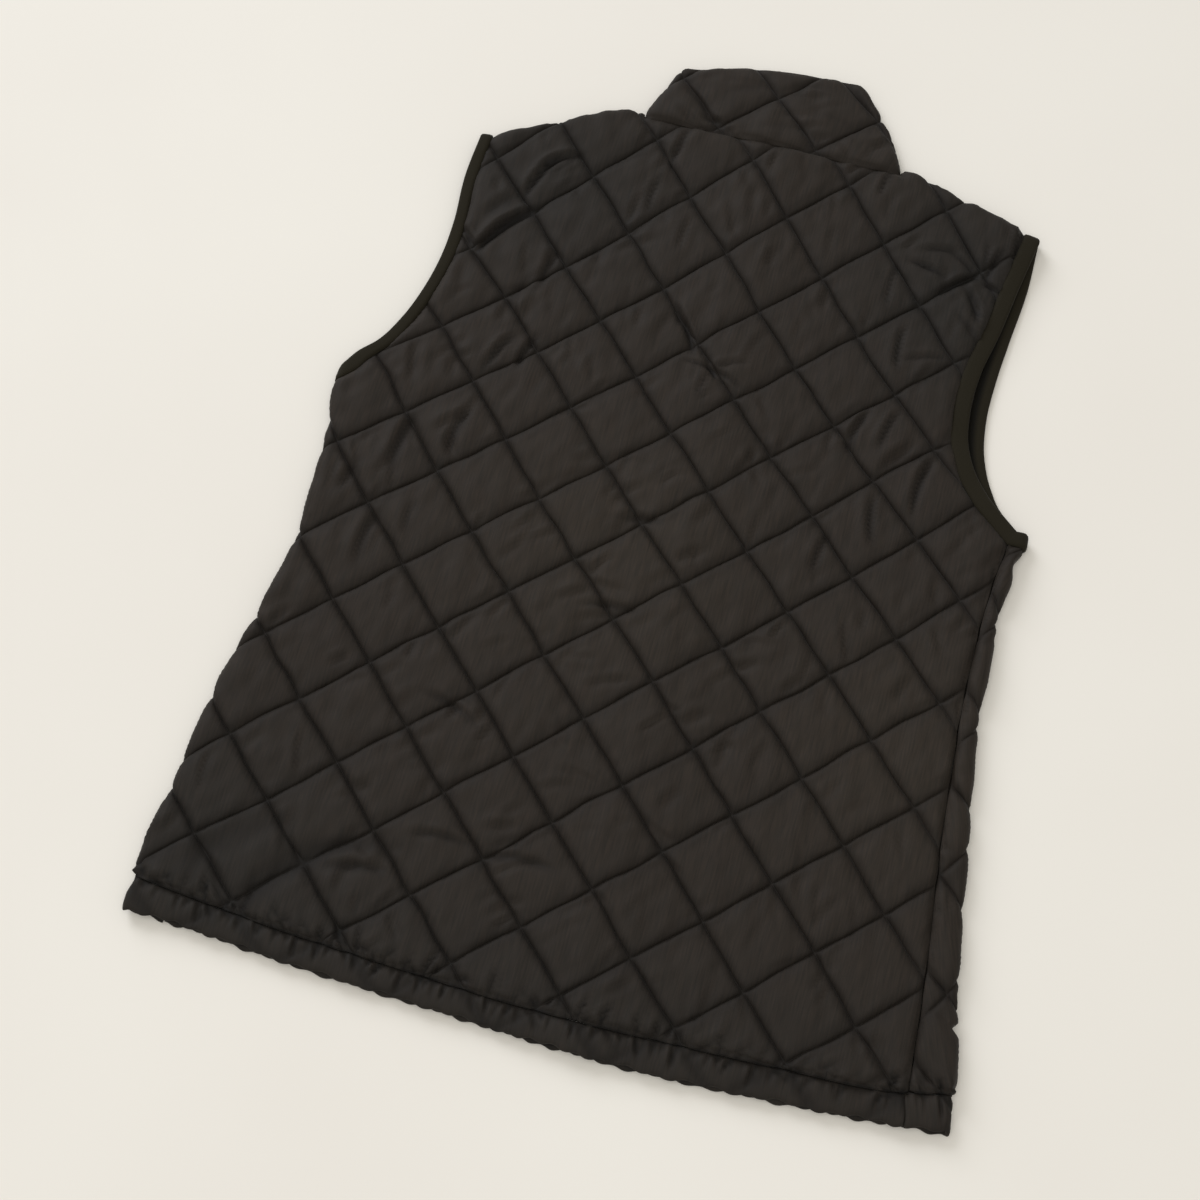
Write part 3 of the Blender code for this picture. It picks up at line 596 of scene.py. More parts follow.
def hem_puckers(first, last, mirror, seed):
    """Short upright creases across the hem's stitching, as its thread gathers the cloth, and
    the furrow of the stitching itself."""
    rng = np.random.default_rng(seed)
    creases = []
    for x in np.arange(min(first, last), max(first, last), 5.0):
        x = x + rng.uniform(-2.5, 2.5)
        stitched = float(hem_height(HEM_STITCHING, mirror * x))
        creases.append(Crease(x, stitched + rng.uniform(-3, 5), 90 + rng.normal(0, 34),
                              rng.uniform(10, 28), rng.uniform(1.3, 2.3), rng.uniform(0.8, 3.2)))
        creases.append(Crease(x, stitched + 0.4, rng.normal(0, 12), 9, 1.3, rng.uniform(1.0, 2.6)))
    return creases


def tube_faces(index, closed):
    """Faces through rings of points, each ring anticlockwise as seen from beyond the last;
    the ends are joined or have a cap."""
    if closed:
        index = np.vstack([index, index[:1]])
    beside = np.roll(index, -1, axis=1)
    faces = np.stack([index[:-1], beside[:-1], beside[1:], index[1:]], -1).reshape(-1, 4).tolist()
    return faces if closed else faces + [index[0, ::-1].tolist(), index[-1].tolist()]


def tube(name, rings, closed, **maps):
    index = np.arange(rings.shape[0] * rings.shape[1]).reshape(rings.shape[:2])
    return new_mesh(name, rings.reshape(-1, 3), tube_faces(index, closed), **maps)


# A hem band's section: share of the way from the stitching to the edge, and outward height
BAND_SECTION = [(0.02, -2.9), (0.08, -1.9), (0.18, -1.1), (0.32, -0.5), (0.5, -0.2), (0.66, -0.25),
                (0.8, -0.5), (0.9, -1.0), (0.97, -1.7), (1.0, -2.5), (0.97, -3.3), (0.88, -3.8),
                (0.6, -4.0), (0.3, -3.8), (0.05, -3.3)]


def hem_band(name, first, last, mirror, quilting, cell_of, lay, puckers):
    """The turned-up hem below its stitching, as a closed tube; the quilting runs on in it."""
    across = np.linspace(first, last, int(abs(last - first) / 1.1))[:, None]
    share, height = np.array(BAND_SECTION).T
    top, low = hem_height(HEM_STITCHING, mirror * across) + 0.6, hem_height(HEM, mirror * across)
    low = low + 0.8 * np.sin(across / 2.6 + 2 * np.sin(across / 37)) + 0.7 * np.sin(across / 7.7)
    y = top + share * (low - top)
    x = across + 0 * y
    i, j = cell_of(np.stack([x, y], axis=-1), quilting)
    from_seam = seam_distance(i, j)
    facing = smooth((height + 3.6) / 1.6)
    groove = -1.6 * np.exp(-(from_seam / 2.6) ** 2) * smooth(share * 6) * smooth((1 - share) * 5 + 0.3)
    gather = creased(x.ravel(), y.ravel(), puckers).reshape(x.shape)
    gather = gather * (0.5 + 0.5 * smooth((1 - share) * 2))
    height = np.maximum(height + facing * (groove + gather), np.minimum(height, -2.9))
    rings = lay(x, y, height)
    rings[..., 2] = np.maximum(rings[..., 2], 0)
    # Painted shade in the puckers' troughs, and the cloth's broad tone
    shade = facing * np.clip(-gather / 4, 0, 1), broad_tone(rings[..., 0], rings[..., 1])
    flat, cells, shade = (np.stack(pair, axis=-1).reshape(-1, 2) for pair in ((x, y), (i, j), shade))
    return tube(name, rings, False, cloth=flat * MM, cells=cells, shade=shade)


def plain_cells(plan, quilting):
    """How many cells plan points are from a straight lattice's start."""
    steps = np.linalg.inv(np.array([quilting.down, quilting.up]).T)
    cells = (plan - quilting.start) @ steps.T
    return cells[..., 0], cells[..., 1]


def crease_light(tree, darkest):
    """Painted shade from the shade map, as in a crease: the share of the base colour left at a place, and the
    two values of the shade map.
    """
    creases = add_node(tree, "ShaderNodeUVMap", uv_map="shade")
    sunk = add_node(tree, "ShaderNodeSeparateXYZ")
    light = add_node(tree, "ShaderNodeMapRange", To_Min=1.0, To_Max=darkest)
    link(creases, "UV", sunk, "Vector")
    link(sunk, "X", light, "Value")
    return light, sunk


def satin_taffeta():
    """Black polyester taffeta with a soft satin shine and fine upright threads.  Painted shade
    makes it darker in the seams of the quilting and in sharp creases, where the cloth shades
    itself; and it is cooler and darker where its broad tone is low."""
    material, tree, shader = new_material("black_satin_taffeta_quilted", IOR=1.45, Specular_IOR_Level=0.22,
                                          Sheen_Weight=0.03, Sheen_Roughness=0.4)
    cloth = add_node(tree, "ShaderNodeUVMap", uv_map="cloth")
    stretched = add_node(tree, "ShaderNodeMapping", Scale=(1.0, 0.06, 1.0))
    threads = add_node(tree, "ShaderNodeTexNoise", Scale=900.0, Detail=3.0, Roughness=0.6)
    tone = add_ramp(tree, (0.3, "#24201B"), (0.7, "#322B25"))
    shine = add_node(tree, "ShaderNodeMapRange", To_Min=0.62, To_Max=0.76)
    link(cloth, "UV", stretched, "Vector")
    link(stretched, "Vector", threads, "Vector")
    link(threads, "Fac", tone, "Fac")
    link(threads, "Fac", shine, "Value")
    link(shine, "Result", shader, "Roughness")
    cells = add_node(tree, "ShaderNodeUVMap", uv_map="cells")
    apart = add_node(tree, "ShaderNodeSeparateXYZ")
    link(cells, "UV", apart, "Vector")
    shade = add_node(tree, "ShaderNodeMath", operation="MULTIPLY")
    # Painted shade: the base colour is darkened beside each seam of the quilting
    for axis, painted_shade, reach, entry in (("X", 0.7, 0.2, 0), ("Y", 0.62, 0.14, 1)):
        beside = add_node(tree, "ShaderNodeMath", operation="PINGPONG")
        beside.inputs[1].default_value = 0.5
        seam = add_node(tree, "ShaderNodeMapRange", From_Min=0.006, From_Max=reach, To_Min=painted_shade, To_Max=1.0)
        link(apart, axis, beside, 0)
        link(beside, "Value", seam, "Value")
        link(seam, "Result", shade, entry)
    # Painted shade: the base colour is darker in the creases, from the shade map
    light, sunk = crease_light(tree, 0.3)
    both = add_node(tree, "ShaderNodeMath", operation="MULTIPLY")
    # The cloth's broad tone: cooler and darker where the shade map's second value is low
    tint = add_ramp(tree, (0.0, "#D3DCE3"), (0.5, "#EBEBEB"), (1.0, "#FFFFFB"))
    tinted = add_node(tree, "ShaderNodeVectorMath", operation="MULTIPLY")
    darker = add_node(tree, "ShaderNodeVectorMath", operation="SCALE")
    link(shade, "Value", both, 0)
    link(light, "Result", both, 1)
    link(sunk, "Y", tint, "Fac")
    link(tone, "Color", tinted, 0)
    link(tint, "Color", tinted, 1)
    link(tinted, "Vector", darker, 0)
    link(both, "Value", darker, "Scale")
    link(darker, "Vector", shader, "Base Color")
    bump = add_node(tree, "ShaderNodeBump", Strength=0.25, Distance=0.0002)
    link(threads, "Fac", bump, "Height")
    link(bump, "Normal", shader, "Normal")
    return material


taffeta = satin_taffeta()


def finished(piece, body, node, material):
    """Gives a piece its material and says what it rides on and which built node it replaces."""
    piece.data.materials.append(material)
    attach(piece, body)
    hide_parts(node)


# ----------------------------------------------------------------------- the back
# One panel.  Its strip at the left rolls under to the side seam beneath; at each shoulder
# it rolls halfway down to the seam.  The seams waver as they do in the photo.
Waver = namedtuple("Waver", "height widen middle sides skew")
WAVER = [
    Waver(-10, 0.000, 5.0, -1.5, -3.5),
    Waver(22, 0.000, 4.3, -1.5, -3.2),
    Waver(55, 0.002, 2.0, -1.0, -3.0),
    Waver(90, 0.003, 0.8, -0.5, -1.5),
    Waver(160, 0.012, -0.6, 0.0, -1.0),
    Waver(230, 0.018, -0.3, 0.0, 0.0),
    Waver(300, 0.018, -0.8, 1.5, 0.0),
    Waver(338, 0.010, -1.8, 3.2, 0.5),
    Waver(374, 0.004, -1.8, 4.0, 0.5),
    Waver(402, -0.008, -2.2, 4.0, 0.5),
    Waver(440, -0.014, -2.4, 2.0, -0.5),
    Waver(478, -0.018, -3.0, -1.0, -1.0),
    Waver(515, -0.018, -1.7, -4.5, 0.0),
    Waver(550, -0.012, 0.5, -7.0, 0.0),
    Waver(590, -0.003, 5.2, -8.5, 0.0),
    Waver(632, 0.005, 9.3, -8.5, 0.0),
    Waver(670, 0.010, 14.0, -8.5, 0.0),
]
BACK_NECK = (-92, 88)       # between these the back's top edge is the neck seam
BACK_HEM = (-294.5, 231.0)
BACK_QUILTING = Quilting(np.array((21.35, 515.98)), np.array((34.81, -35.85)), np.array((35.78, 35.30)))


def wobble(x, y):
    """How far the sewing strays from a straight line: less than a millimetre."""
    return np.stack([0.45 * np.sin(y / 6.1 + 2 * np.sin(x / 23)) + 0.3 * np.sin(y / 14.3 + 1.0),
                     0.45 * np.sin(x / 6.7 + 2 * np.sin(y / 19)) + 0.3 * np.sin(x / 12.1 + 2.0)], axis=-1)


def waver(plan):
    """Moves the lattice's points as the back's quilting wavers."""
    x, y = plan[..., 0], plan[..., 1]
    widen, middle, sides, skew = (through([(row.height, getattr(row, part)) for row in WAVER], y)
                                  for part in ("widen", "middle", "sides", "skew"))
    side = np.clip(x / 200, -1.4, 1.4)
    return np.stack([x + widen * x, y + middle + sides * side ** 2 + skew * side], axis=-1) + wobble(x, y)


def strayed(plan):
    """A straight lattice with only the wobble of its sewing."""
    return plan + wobble(plan[..., 0], plan[..., 1])


def wavering_cells(plan, quilting):
    """The same as plain_cells where the lattice wavers."""
    straight = plan
    for _ in range(4):
        straight = straight - (waver(straight) - plan)
    return plain_cells(straight, quilting)


def over_shoulder(x, y, neck):
    """How far cloth beside the neck has turned over the shoulder, and its flat height."""
    shoulder = through(SHOULDERS, x)
    turned = np.clip((y - shoulder) / QUARTER, 0, 1) * ((x < neck[0]) | (x > neck[1])) * np.pi / 2
    return turned, np.where(turned > 0, shoulder, y)


def rolled(out, y, top, turn, tip, height, face):
    """Places on cloth that is turned over a side by one angle and over a shoulder by another.
    Height is along the cloth's outward direction; face is 1 for the back and -1 beneath."""
    level = top / 2 * (1 + face * np.cos(turn)) - face * top / 2 * (1 - np.cos(tip))
    normal = np.stack([-face * np.sin(turn), np.sin(tip), face * np.cos(turn) * np.cos(tip)], axis=-1)
    place = np.stack([out, y + ROLL * np.sin(tip), level], axis=-1)
    return place + normal * drawn_flat(height, turn)[..., None]


def lay_back(x, y, height):
    """Lays the flat back panel: over the left roll to the underside, and over the shoulders."""
    fold = body_line("left", y) + ROLL
    over = np.maximum(fold - x, 0)
    turn = np.pi * np.clip(over / ARC, 0, 1)
    tip, flat_y = over_shoulder(x, y, BACK_NECK)
    flat_x = np.where(over > 0, fold, x)
    out = np.where(over > ARC, fold + (over - ARC), flat_x - ROLL * np.sin(turn))
    return rolled(out, flat_y, top_height(flat_x, flat_y), turn, tip, height, 1)


def between(first, last, count):
    return np.linspace(first, last, count)


# The plainest creases: the folds on the left shoulder, the two tacks on the upper back, the
# star of creases on the right shoulder, those beside the armholes, and some broad ones
BACK_CREASES = [Crease(*row) for row in (
    (-170, 533, 56, 50, 3.0, 5.2), (-156, 580, 68, 36, 2.6, 4.2), (-144, 597, 35, 26, 2.4, 3.8),
    (-140, 594, 50, 20, 1.6, 1.7), (-190, 519, -50, 18, 1.9, 2.8), (-176, 550, 55, 28, 4.0, 1.9),
    (-75, 585, 88, 30, 2.1, 2.3), (-66, 628, 80, 34, 2.1, 2.2), (-130, 508, 80, 30, 2.9, 2.3),
    (-146, 436, 66, 34, 2.7, 3.1), (-127, 442, 76, 28, 2.4, 2.9), (-138, 486, 75, 30, 4.0, -2.3),
    (-190, 352, 84, 40, 3.6, 3.4), (-156, 371, 80, 34, 3.0, 3.0), (-168, 301, 88, 24, 3.0, 1.8),
    (-192, 279, 84, 36, 3.4, 2.6), (-215, 322, 75, 26, 3.0, 1.8), (-22, 484, -60, 26, 2.1, 4.2),
    (-32, 496, -75, 18, 1.8, 2.3), (0, 460, -50, 14, 1.9, 3.6), (-9, 462, -10, 20, 1.6, 2.3),
    (12, 457, -20, 26, 1.8, 1.9), (10, 467, 25, 24, 1.8, 1.8), (-4, 447, 80, 20, 1.8, 1.7),
    (126, 578, -15, 24, 2.2, 3.7), (132, 594, 10, 24, 2.2, 2.4), (152, 587, -35, 26, 1.9, 2.8),
    (148, 571, 40, 28, 2.4, 3.6), (163, 558, -62, 28, 2.4, 4.2), (170, 593, 75, 26, 1.9, 2.8),
    (175, 574, -10, 16, 1.6, 2.8), (164, 596, 95, 22, 1.8, 1.9), (165, 537, -45, 26, 2.2, 2.3),
    (119, 510, 92, 34, 2.1, 2.9), (138, 508, 18, 28, 2.2, 1.9), (82, 636, 80, 24, 1.9, 2.4),
    (183, 612, 88, 34, 2.1, 3.2), (103, 557, 88, 36, 1.9, 1.9), (125, 448, 76, 30, 2.4, 3.2),
    (154, 412, 84, 44, 2.6, 3.6), (128, 379, 98, 36, 2.6, 3.2), (104, 440, 78, 34, 2.6, 2.4),
    (100, 346, 82, 30, 2.6, 2.6), (-100, 182, -20, 40, 2.4, 2.4), (-20, 340, 8, 34, 3.0, 1.5),
    (-22, 275, 5, 34, 2.7, 2.2), (-30, 97, 2, 40, 2.9, 2.4), (-84, 98, 4, 36, 2.7, 2.3),
    (-128, 66, 10, 36, 3.4, 2.6), (-165, 62, 42, 110, 9.0, 1.9), (-215, 60, 44, 80, 9.0, 1.6),
)]


def steepness(x, y):
    """Creases stand upright on most of the back and lie level down its middle."""
    return 82 - 80 * math.exp(-((x + 5) / 75) ** 2 - ((y - 200) / 170) ** 2)


def inset(outline, distance):
    """An anticlockwise outline moved inwards."""
    def unit(steps):
        return steps / np.maximum(np.linalg.norm(steps, axis=1), 1e-9)[:, None]

    ahead, behind = np.roll(outline, -1, axis=0) - outline, outline - np.roll(outline, 1, axis=0)
    step = unit(unit(ahead) + unit(behind))
    return outline + distance * np.stack([-step[:, 1], step[:, 0]], axis=1)


def cut(outline):
    """Width and length of a flat panel, and its area, in metres."""
    x, y = outline.T * MM
    area = abs((x * np.roll(y, -1) - y * np.roll(x, -1)).sum()) / 2
    return (float(np.ptp(x)), float(np.ptp(y))), float(area)


def shoulder_edge(side):
    """Points along a panel's shoulder edge, from the neck outwards."""
    x = between(*SHOULDER_ENDS[side], 20)
    return np.stack([x, through(SHOULDERS, x) + QUARTER], axis=1)


def back_outline():
    """The flat back panel's edge above the hem, anticlockwise from its lower left corner."""
    low = between(25, SIDE_TOP["left"], 60)
    fold = body_line("left", low) + ROLL
    seam_x = fold - ARC - (left_seam(low) - fold)
    left = np.stack([seam_x, low], axis=1)
    left[0, 1] = hem_height(HEM_STITCHING, left[0, 0])
    right_y = between(float(through(HEM_STITCHING, 230.0)), SIDE_TOP["right"], 60)
    right = np.stack([body_line("seam", right_y), right_y], axis=1)
    bottom_x = between(left[0, 0], right[0, 0], 90)
    bottom = np.stack([bottom_x, hem_height(HEM_STITCHING, bottom_x)], axis=1)
    neck = np.array([(x, NECK_SEAM) for x in between(92, -96, 30)])
    over = armhole_edge("back_left")[::-1]
    return np.vstack([bottom, right[1:], armhole_edge("back_right")[1:], shoulder_edge("right")[::-1],
                      neck, shoulder_edge("left"), over, left[::-1][:-1]])


puckers = hem_puckers(-295, 232, 1, 4)
back = quilted("back_panel", inset(back_outline(), RIM_INSET), BACK_QUILTING, waver, lay_back, seed=3,
               creases=BACK_CREASES + puckers, steep=steepness)
back_hem = hem_band("back_hem", *BACK_HEM, 1, BACK_QUILTING, wavering_cells, lay_back, puckers)
for piece in (back, back_hem):
    finished(piece, "vest", "back", taffeta)
flat, area = cut(back_outline())


# --------------------------------------------------------------------- the fronts
# Two panels that lie face down on the table.  Their flat outlines are as seen from below,
# so x is turned round.  The right one rolls up at its side, to the seam on top.
FRONT_NECK = 577.0          # height of the front neck seam at the zip
ZIP_OPENING = 5.5           # from the zip's middle to the edge of each front
FRONT_SHOULDERS = (-90, 86)  # beyond these the top edge is a shoulder
FRONT_HEM = {"left": (-28.6, 233.5), "right": (-294.0, -28.9)}
NECKLINE = {"left": [(-90.2, 647.8), (-86.0, 632.0), (-72.0, 611.0), (-45.0, 590.0)],
            "right": [(86.2, 647.8), (82.5, 632.0), (70.0, 611.0), (46.0, 590.0)]}
FRONT_QUILTING = {side: Quilting(np.array(start), np.array((35.2, -35.6)), np.array((35.5, 35.3)))
                  for side, start in (("left", (96.0, 306.0)), ("right", (-188.0, 296.0)))}


def lay_front(x, y, height):
    """Lays a flat front panel, seen from below: up over the shoulder, and at the vest's
    right side up over the roll and onto the top."""
    x = -x
    fold = body_line("right", y) - ROLL
    over = np.maximum(x - fold, 0)
    turn = np.pi * np.clip(over / ARC, 0, 1)
    tip, flat_y = over_shoulder(x, y, FRONT_SHOULDERS)
    flat_x = np.where(over > 0, fold, x)
    # The rolled edge is pulled in by a seam near the hem and by the binding at the underarm
    nick = 4.5 * np.exp(-((y - 64.5) / 2.8) ** 2) + 4.8 * np.exp(-((y - 374) / 9) ** 2)
    out = np.where(over > ARC, fold - (over - ARC), flat_x + (ROLL - nick) * np.sin(turn))
    top = top_height(np.where(over > ARC, out, flat_x), flat_y)
    return rolled(out, flat_y, top, turn, tip, height, -1)


def neckline(side):
    edge = -ZIP_OPENING if side == "left" else ZIP_OPENING
    return np.array(NECKLINE[side] + [(zip_line(FRONT_NECK) + edge, FRONT_NECK)])


def front_outline(side):
    """A flat front panel's edge above the hem, anticlockwise as seen from below."""
    left = side == "left"
    edge = -ZIP_OPENING if left else ZIP_OPENING
    low = between(22, SIDE_TOP[side], 60)
    fold = body_line("right", low) - ROLL
    seam = np.stack([left_seam(low) if left else 2 * fold + ARC - body_line("seam", low), low], axis=1)
    seam[0, 1] = hem_height(HEM_STITCHING, seam[0, 0])
    zip_x = zip_line(20) + edge
    bottom_x = between(seam[0, 0], zip_x, 60)
    bottom = np.stack([bottom_x, hem_height(HEM_STITCHING, bottom_x)], axis=1)
    zip_y = between(bottom[-1, 1], FRONT_NECK, 60)
    zip_side = np.stack([zip_line(zip_y) + edge, zip_y], axis=1)
    curve = neckline(side)
    neck_x = between(curve[-1, 0], curve[0, 0], 30)
    neck = np.stack([neck_x, through(sorted(curve.tolist()), neck_x)], axis=1)
    rest = neck[1:], shoulder_edge(side), armhole_edge("front_" + side)[::-1], seam[::-1][:-1]
    outline = np.vstack([bottom, zip_side[1:], *rest]) * (-1, 1)
    return outline[::-1] if left else outline


for side, seed in (("left", 11), ("right", 12)):
    outline = front_outline(side)
    quilting = FRONT_QUILTING[side]
    puckers = hem_puckers(*FRONT_HEM[side], -1, seed)
    front = quilted(side + "_front_panel", inset(outline, RIM_INSET), quilting, strayed, lay_front, seed=seed,
                    creases=puckers)
    hem = hem_band(side + "_front_hem", *FRONT_HEM[side], -1, quilting, plain_cells, lay_front, puckers)
    for piece in (front, hem):
        finished(piece, "vest", side + "_front", taffeta)
    flat, area = cut(outline)


# --------------------------------------------------------------------- the collar
# A stand collar, quilted like the panels: one strip that is folded at both ends of the
# back and lies flattened, with its two ends beneath, at the zip.
LEFT_FOLD = np.array(((-90.5, 648.7), (-75.5, 698.0)))
RIGHT_FOLD = np.array(((86.5, 648.7), (43.0, 716.5)))
COLLAR_HEIGHT = 68.0        # from the neck seam to the upper edge, at its highest
COLLAR_EDGE = 9.5           # top of the collar at its upper edge
COLLAR_SWELL = 18.0         # how strongly its right end swells out
COLLAR_TOP = [(-75.5, 698.0), (-60.0, 702.0), (-34.0, 710.0), (-4.0, 714.0), (28.0, 717.0), (43.0, 716.5)]
COLLAR_FRONT = {"left": [(-75.5, 697.0), (-62.0, 683.0), (-44.0, 667.0), (-25.0, 652.0), (-5.5, 641.0)],
                "right": [(43.0, 715.0), (38.0, 698.0), (31.0, 680.0), (20.0, 660.0), (5.5, 641.0)]}
COLLAR_QUILTING = Quilting(np.array((-7.0, 688.0)), np.array((35.0, -35.8)), np.array((35.2, 35.2)))


def outward(fold):
    """Unit vector square to a fold line, away from the collar's middle."""
    along = fold[1] - fold[0]
    square = np.array((along[1], -along[0])) / np.linalg.norm(along)
    return square if square[0] * fold[0, 0] > 0 else -square


def lay_collar(x, y, height):
    """Lays the flat collar strip: what is beyond a fold line goes round the end and under."""
    place = np.stack([x, y], axis=-1).astype(float)
    normal = np.zeros(place.shape[:-1] + (3,))
    normal[..., 2] = 1.0
    turn_of = np.zeros(place.shape[:-1])
    for fold in (LEFT_FOLD, RIGHT_FOLD):
        out = outward(fold)
        over = (place - fold[0]) @ out
        turn = np.pi * np.clip(over / ARC, 0, 1)
        foot = place - np.maximum(over, 0)[..., None] * out
        reach = np.where(over > ARC, ARC - over, ROLL * np.sin(turn))
        beyond = over > 0
        place = np.where(beyond[..., None], foot + reach[..., None] * out, place)
        facing = np.stack([out[0] * np.sin(turn), out[1] * np.sin(turn), np.cos(turn)], -1)
        normal = np.where(beyond[..., None], facing, normal)
        turn_of = np.where(beyond, turn, turn_of)
    up = np.clip((place[..., 1] - NECK_SEAM) / COLLAR_HEIGHT, 0, 1)
    top = top_height(np.clip(place[..., 0], -88, 84), NECK_SEAM)
    top = top + up * (COLLAR_EDGE - top)
    level = top / 2 * (1 + np.cos(turn_of))
    across = np.clip((place[..., 0] + 80) / 150, 0, 1)
    swelled = place[..., 0] + COLLAR_SWELL * up * (1 - up) * across ** 2
    return np.stack([swelled, place[..., 1], level], -1) + normal * drawn_flat(height, turn_of)[..., None]


def unfold(points, fold):
    """Where points beneath the collar are on the flat strip."""
    points = np.asarray(points, dtype=float)
    out = outward(fold)
    return points + (ARC - 2 * ((points - fold[0]) @ out))[:, None] * out


def collar_outline():
    """The flat strip's edge: its base on the back, an end, the upper edge and the other end."""
    base = np.array([(x, 647.6) for x in between(-90.5, 86.5, 40)])
    ends = {}
    for side, fold in (("left", LEFT_FOLD), ("right", RIGHT_FOLD)):
        curve = neckline(side)[1:] + (0, 0.3)
        ends[side] = unfold(np.vstack([curve, COLLAR_FRONT[side][::-1][:-1]]), fold)
    top = np.array(COLLAR_TOP)[::-1]
    return np.vstack([base, ends["right"], top, ends["left"][::-1]])


COLLAR_CREASES = [
    Crease(-61, 669, -42, 34, 2.4, 1.4),
    Crease(-47, 657, -5, 14, 2.2, 1.3),
    Crease(50, 703, -55, 30, 2.6, 1.2),
    Crease(70, 677, -58, 22, 2.2, 1.4),
    Crease(-30, 690, 25, 34, 3.6, 0.8),
    Crease(5, 664, 12, 40, 3.4, 0.7),
    Crease(38, 680, -10, 34, 3.6, 0.8),
    Crease(20, 704, 5, 34, 3.6, 0.6),
]
collar = quilted("collar_strip", inset(collar_outline(), 0.6), COLLAR_QUILTING, strayed, lay_collar,
                 seed=21, creases=COLLAR_CREASES, steep=lambda x, y: 20.0)
finished(collar, "vest", "collar", taffeta)
flat, area = cut(collar_outline())


# ------------------------------------------------------------------ the bindings
# A matt knit tape, folded over each armhole's edge and stitched: one loop down the back's
# edge, round the underarm, up the front's edge and over the shoulder.
# The tape's section: reach onto the cloth and outward height
BINDING_SECTION = [(-1.6, -1.3), (-0.8, -0.45), (1.5, -0.15), (4.5, -0.25), (7.5, -0.4), (9.0, -0.75),
                   (9.8, -1.5), (10.0, -2.2), (9.7, -3.0), (8.6, -3.6), (5.0, -3.9), (1.5, -3.9),
                   (-1.4, -3.6), (-1.8, -2.4)]
BINDING_STEPS = 90          # points along each armhole edge
OVER_SHOULDER = 14.0        # length of tape over the shoulder seam


def sideways(points, evened=0):
    """Unit vectors to the left of a line, averaged with their neighbours' as often as asked."""
    step = np.gradient(points, axis=0)
    step /= np.linalg.norm(step, axis=1)[:, None]
    left = np.stack([-step[:, 1], step[:, 0]], axis=1)
    for _ in range(evened):
        left[1:-1] = (left[:-2] + 2 * left[1:-1] + left[2:]) / 4
    return left / np.linalg.norm(left, axis=1)[:, None]


def binding(side):
    """The loop is laid out with the side roll opened flat and is then rolled up, so it
    crosses the roll as the cloth does."""
    way = -1 if side == "left" else 1
    over = armhole_edge("back_" + side, BINDING_STEPS)[::-1]
    under = armhole_edge("front_" + side, BINDING_STEPS)
    fold = float(body_line(side, UNDERARM["back_" + side])) - way * ROLL
    flat_over = np.stack([way * (over[:, 0] - fold), over[:, 1]], axis=1)
    flat_under = np.stack([ARC - way * (under[:, 0] - fold), under[:, 1]], axis=1)
    share = between(0, 1, 12)[1:-1, None]
    line = np.vstack([flat_over, flat_over[-1] + share * (flat_under[0] - flat_over[-1]), flat_under])
    left = sideways(line, evened=90)
    along = np.concatenate([[0], np.cumsum(np.linalg.norm(np.diff(line, axis=0), axis=1))])
    reach, height = np.array(BINDING_SECTION).T
    narrower = 1 - (1 - BINDING_WIDTH[side] / 10) * smooth(np.abs(line[:, 0] - ARC / 2) / 20 - 0.4)
    reach = reach * np.where(reach > 0, narrower[:, None], 1)
    underarm = np.exp(-((line[:, :1] - ARC / 2) / ARC) ** 2)
    plan = line[:, None] + (reach + underarm)[..., None] * left[:, None]
    out, y = plan[..., 0], plan[..., 1]
    turn = np.pi * np.clip(out / ARC, 0, 1)
    flat_x = fold + way * np.where(out < ARC, np.minimum(out, 0), ARC - out)
    top = top_height(flat_x, y)
    wave = 0.25 * np.sin(along / 9 + 2 * np.sin(along / 31))[:, None]
    height = height + wave * (height > -1)
    rings = np.stack([flat_x + way * (ROLL + height) * np.sin(turn), y,
                      top / 2 * (1 + np.cos(turn)) + height * np.cos(turn)], axis=-1)
    climb = between(0, 1, 9)[1:-1, None, None]
    first, last = rings[-1], rings[0]
    middle = (first[:, 2] + last[:, 2]) / 2
    angle = np.pi * (1 - climb[..., 0])
    over_seam = first[:, :2] + climb * (last[:, :2] - first[:, :2])
    over_seam[..., 1] += (ROLL + height[0]) * np.sin(angle)
    rise = middle + (last[:, 2] - first[:, 2]) / 2 * np.cos(angle)
    rings = np.concatenate([rings, np.dstack([over_seam, rise])])
    rings[..., 2] = np.maximum(rings[..., 2], 0)
    lengths = np.concatenate([along, along[-1] + between(0, OVER_SHOULDER, 9)[1:-1]])
    maps = np.stack(np.broadcast_arrays(lengths[:, None], reach[0]), axis=-1) * MM
    # Painted shade: the front's tape, seen through the armhole, is darkened next to its panel, where it lies
    # in the back's shade
    inner = smooth((-3.2 - np.array(BINDING_SECTION)[:, 1]) / 0.6) * smooth((3.8 - reach[0]) / 2.5)
    at = np.arange(len(lengths))
    painted_shade = ((at > BINDING_STEPS) & (at < len(line)))[:, None] * inner
    shade = np.stack([painted_shade, 0 * painted_shade], axis=-1)
    if side == "left":
        rings, maps, shade = rings[:, ::-1], maps[:, ::-1], shade[:, ::-1]
    tape = tube(side + "_binding_tape", rings, True, cloth=maps.reshape(-1, 2), shade=shade.reshape(-1, 2))
    return tape, float(lengths[-1]) * MM


def ribbed_tape(name, tones, ribs, **settings):
    """A tape's cloth with fine ribs, in tone and in relief.  Returns also its tree, its tone
    and its shader."""
    material, tree, shader = new_material(name, Roughness=0.8, **settings)
    cloth = add_node(tree, "ShaderNodeUVMap", uv_map="cloth")
    ribs = add_node(tree, "ShaderNodeTexWave", **ribs)
    tone = add_ramp(tree, (0.0, tones[0]), (1.0, tones[1]))
    bump = add_node(tree, "ShaderNodeBump", Strength=0.4, Distance=0.0002)
    link(cloth, "UV", ribs, "Vector")
    link(ribs, "Color", tone, "Fac")
    link(tone, "Color", shader, "Base Color")
    link(ribs, "Color", bump, "Height")
    link(bump, "Normal", shader, "Normal")
    return material, tree, tone, shader


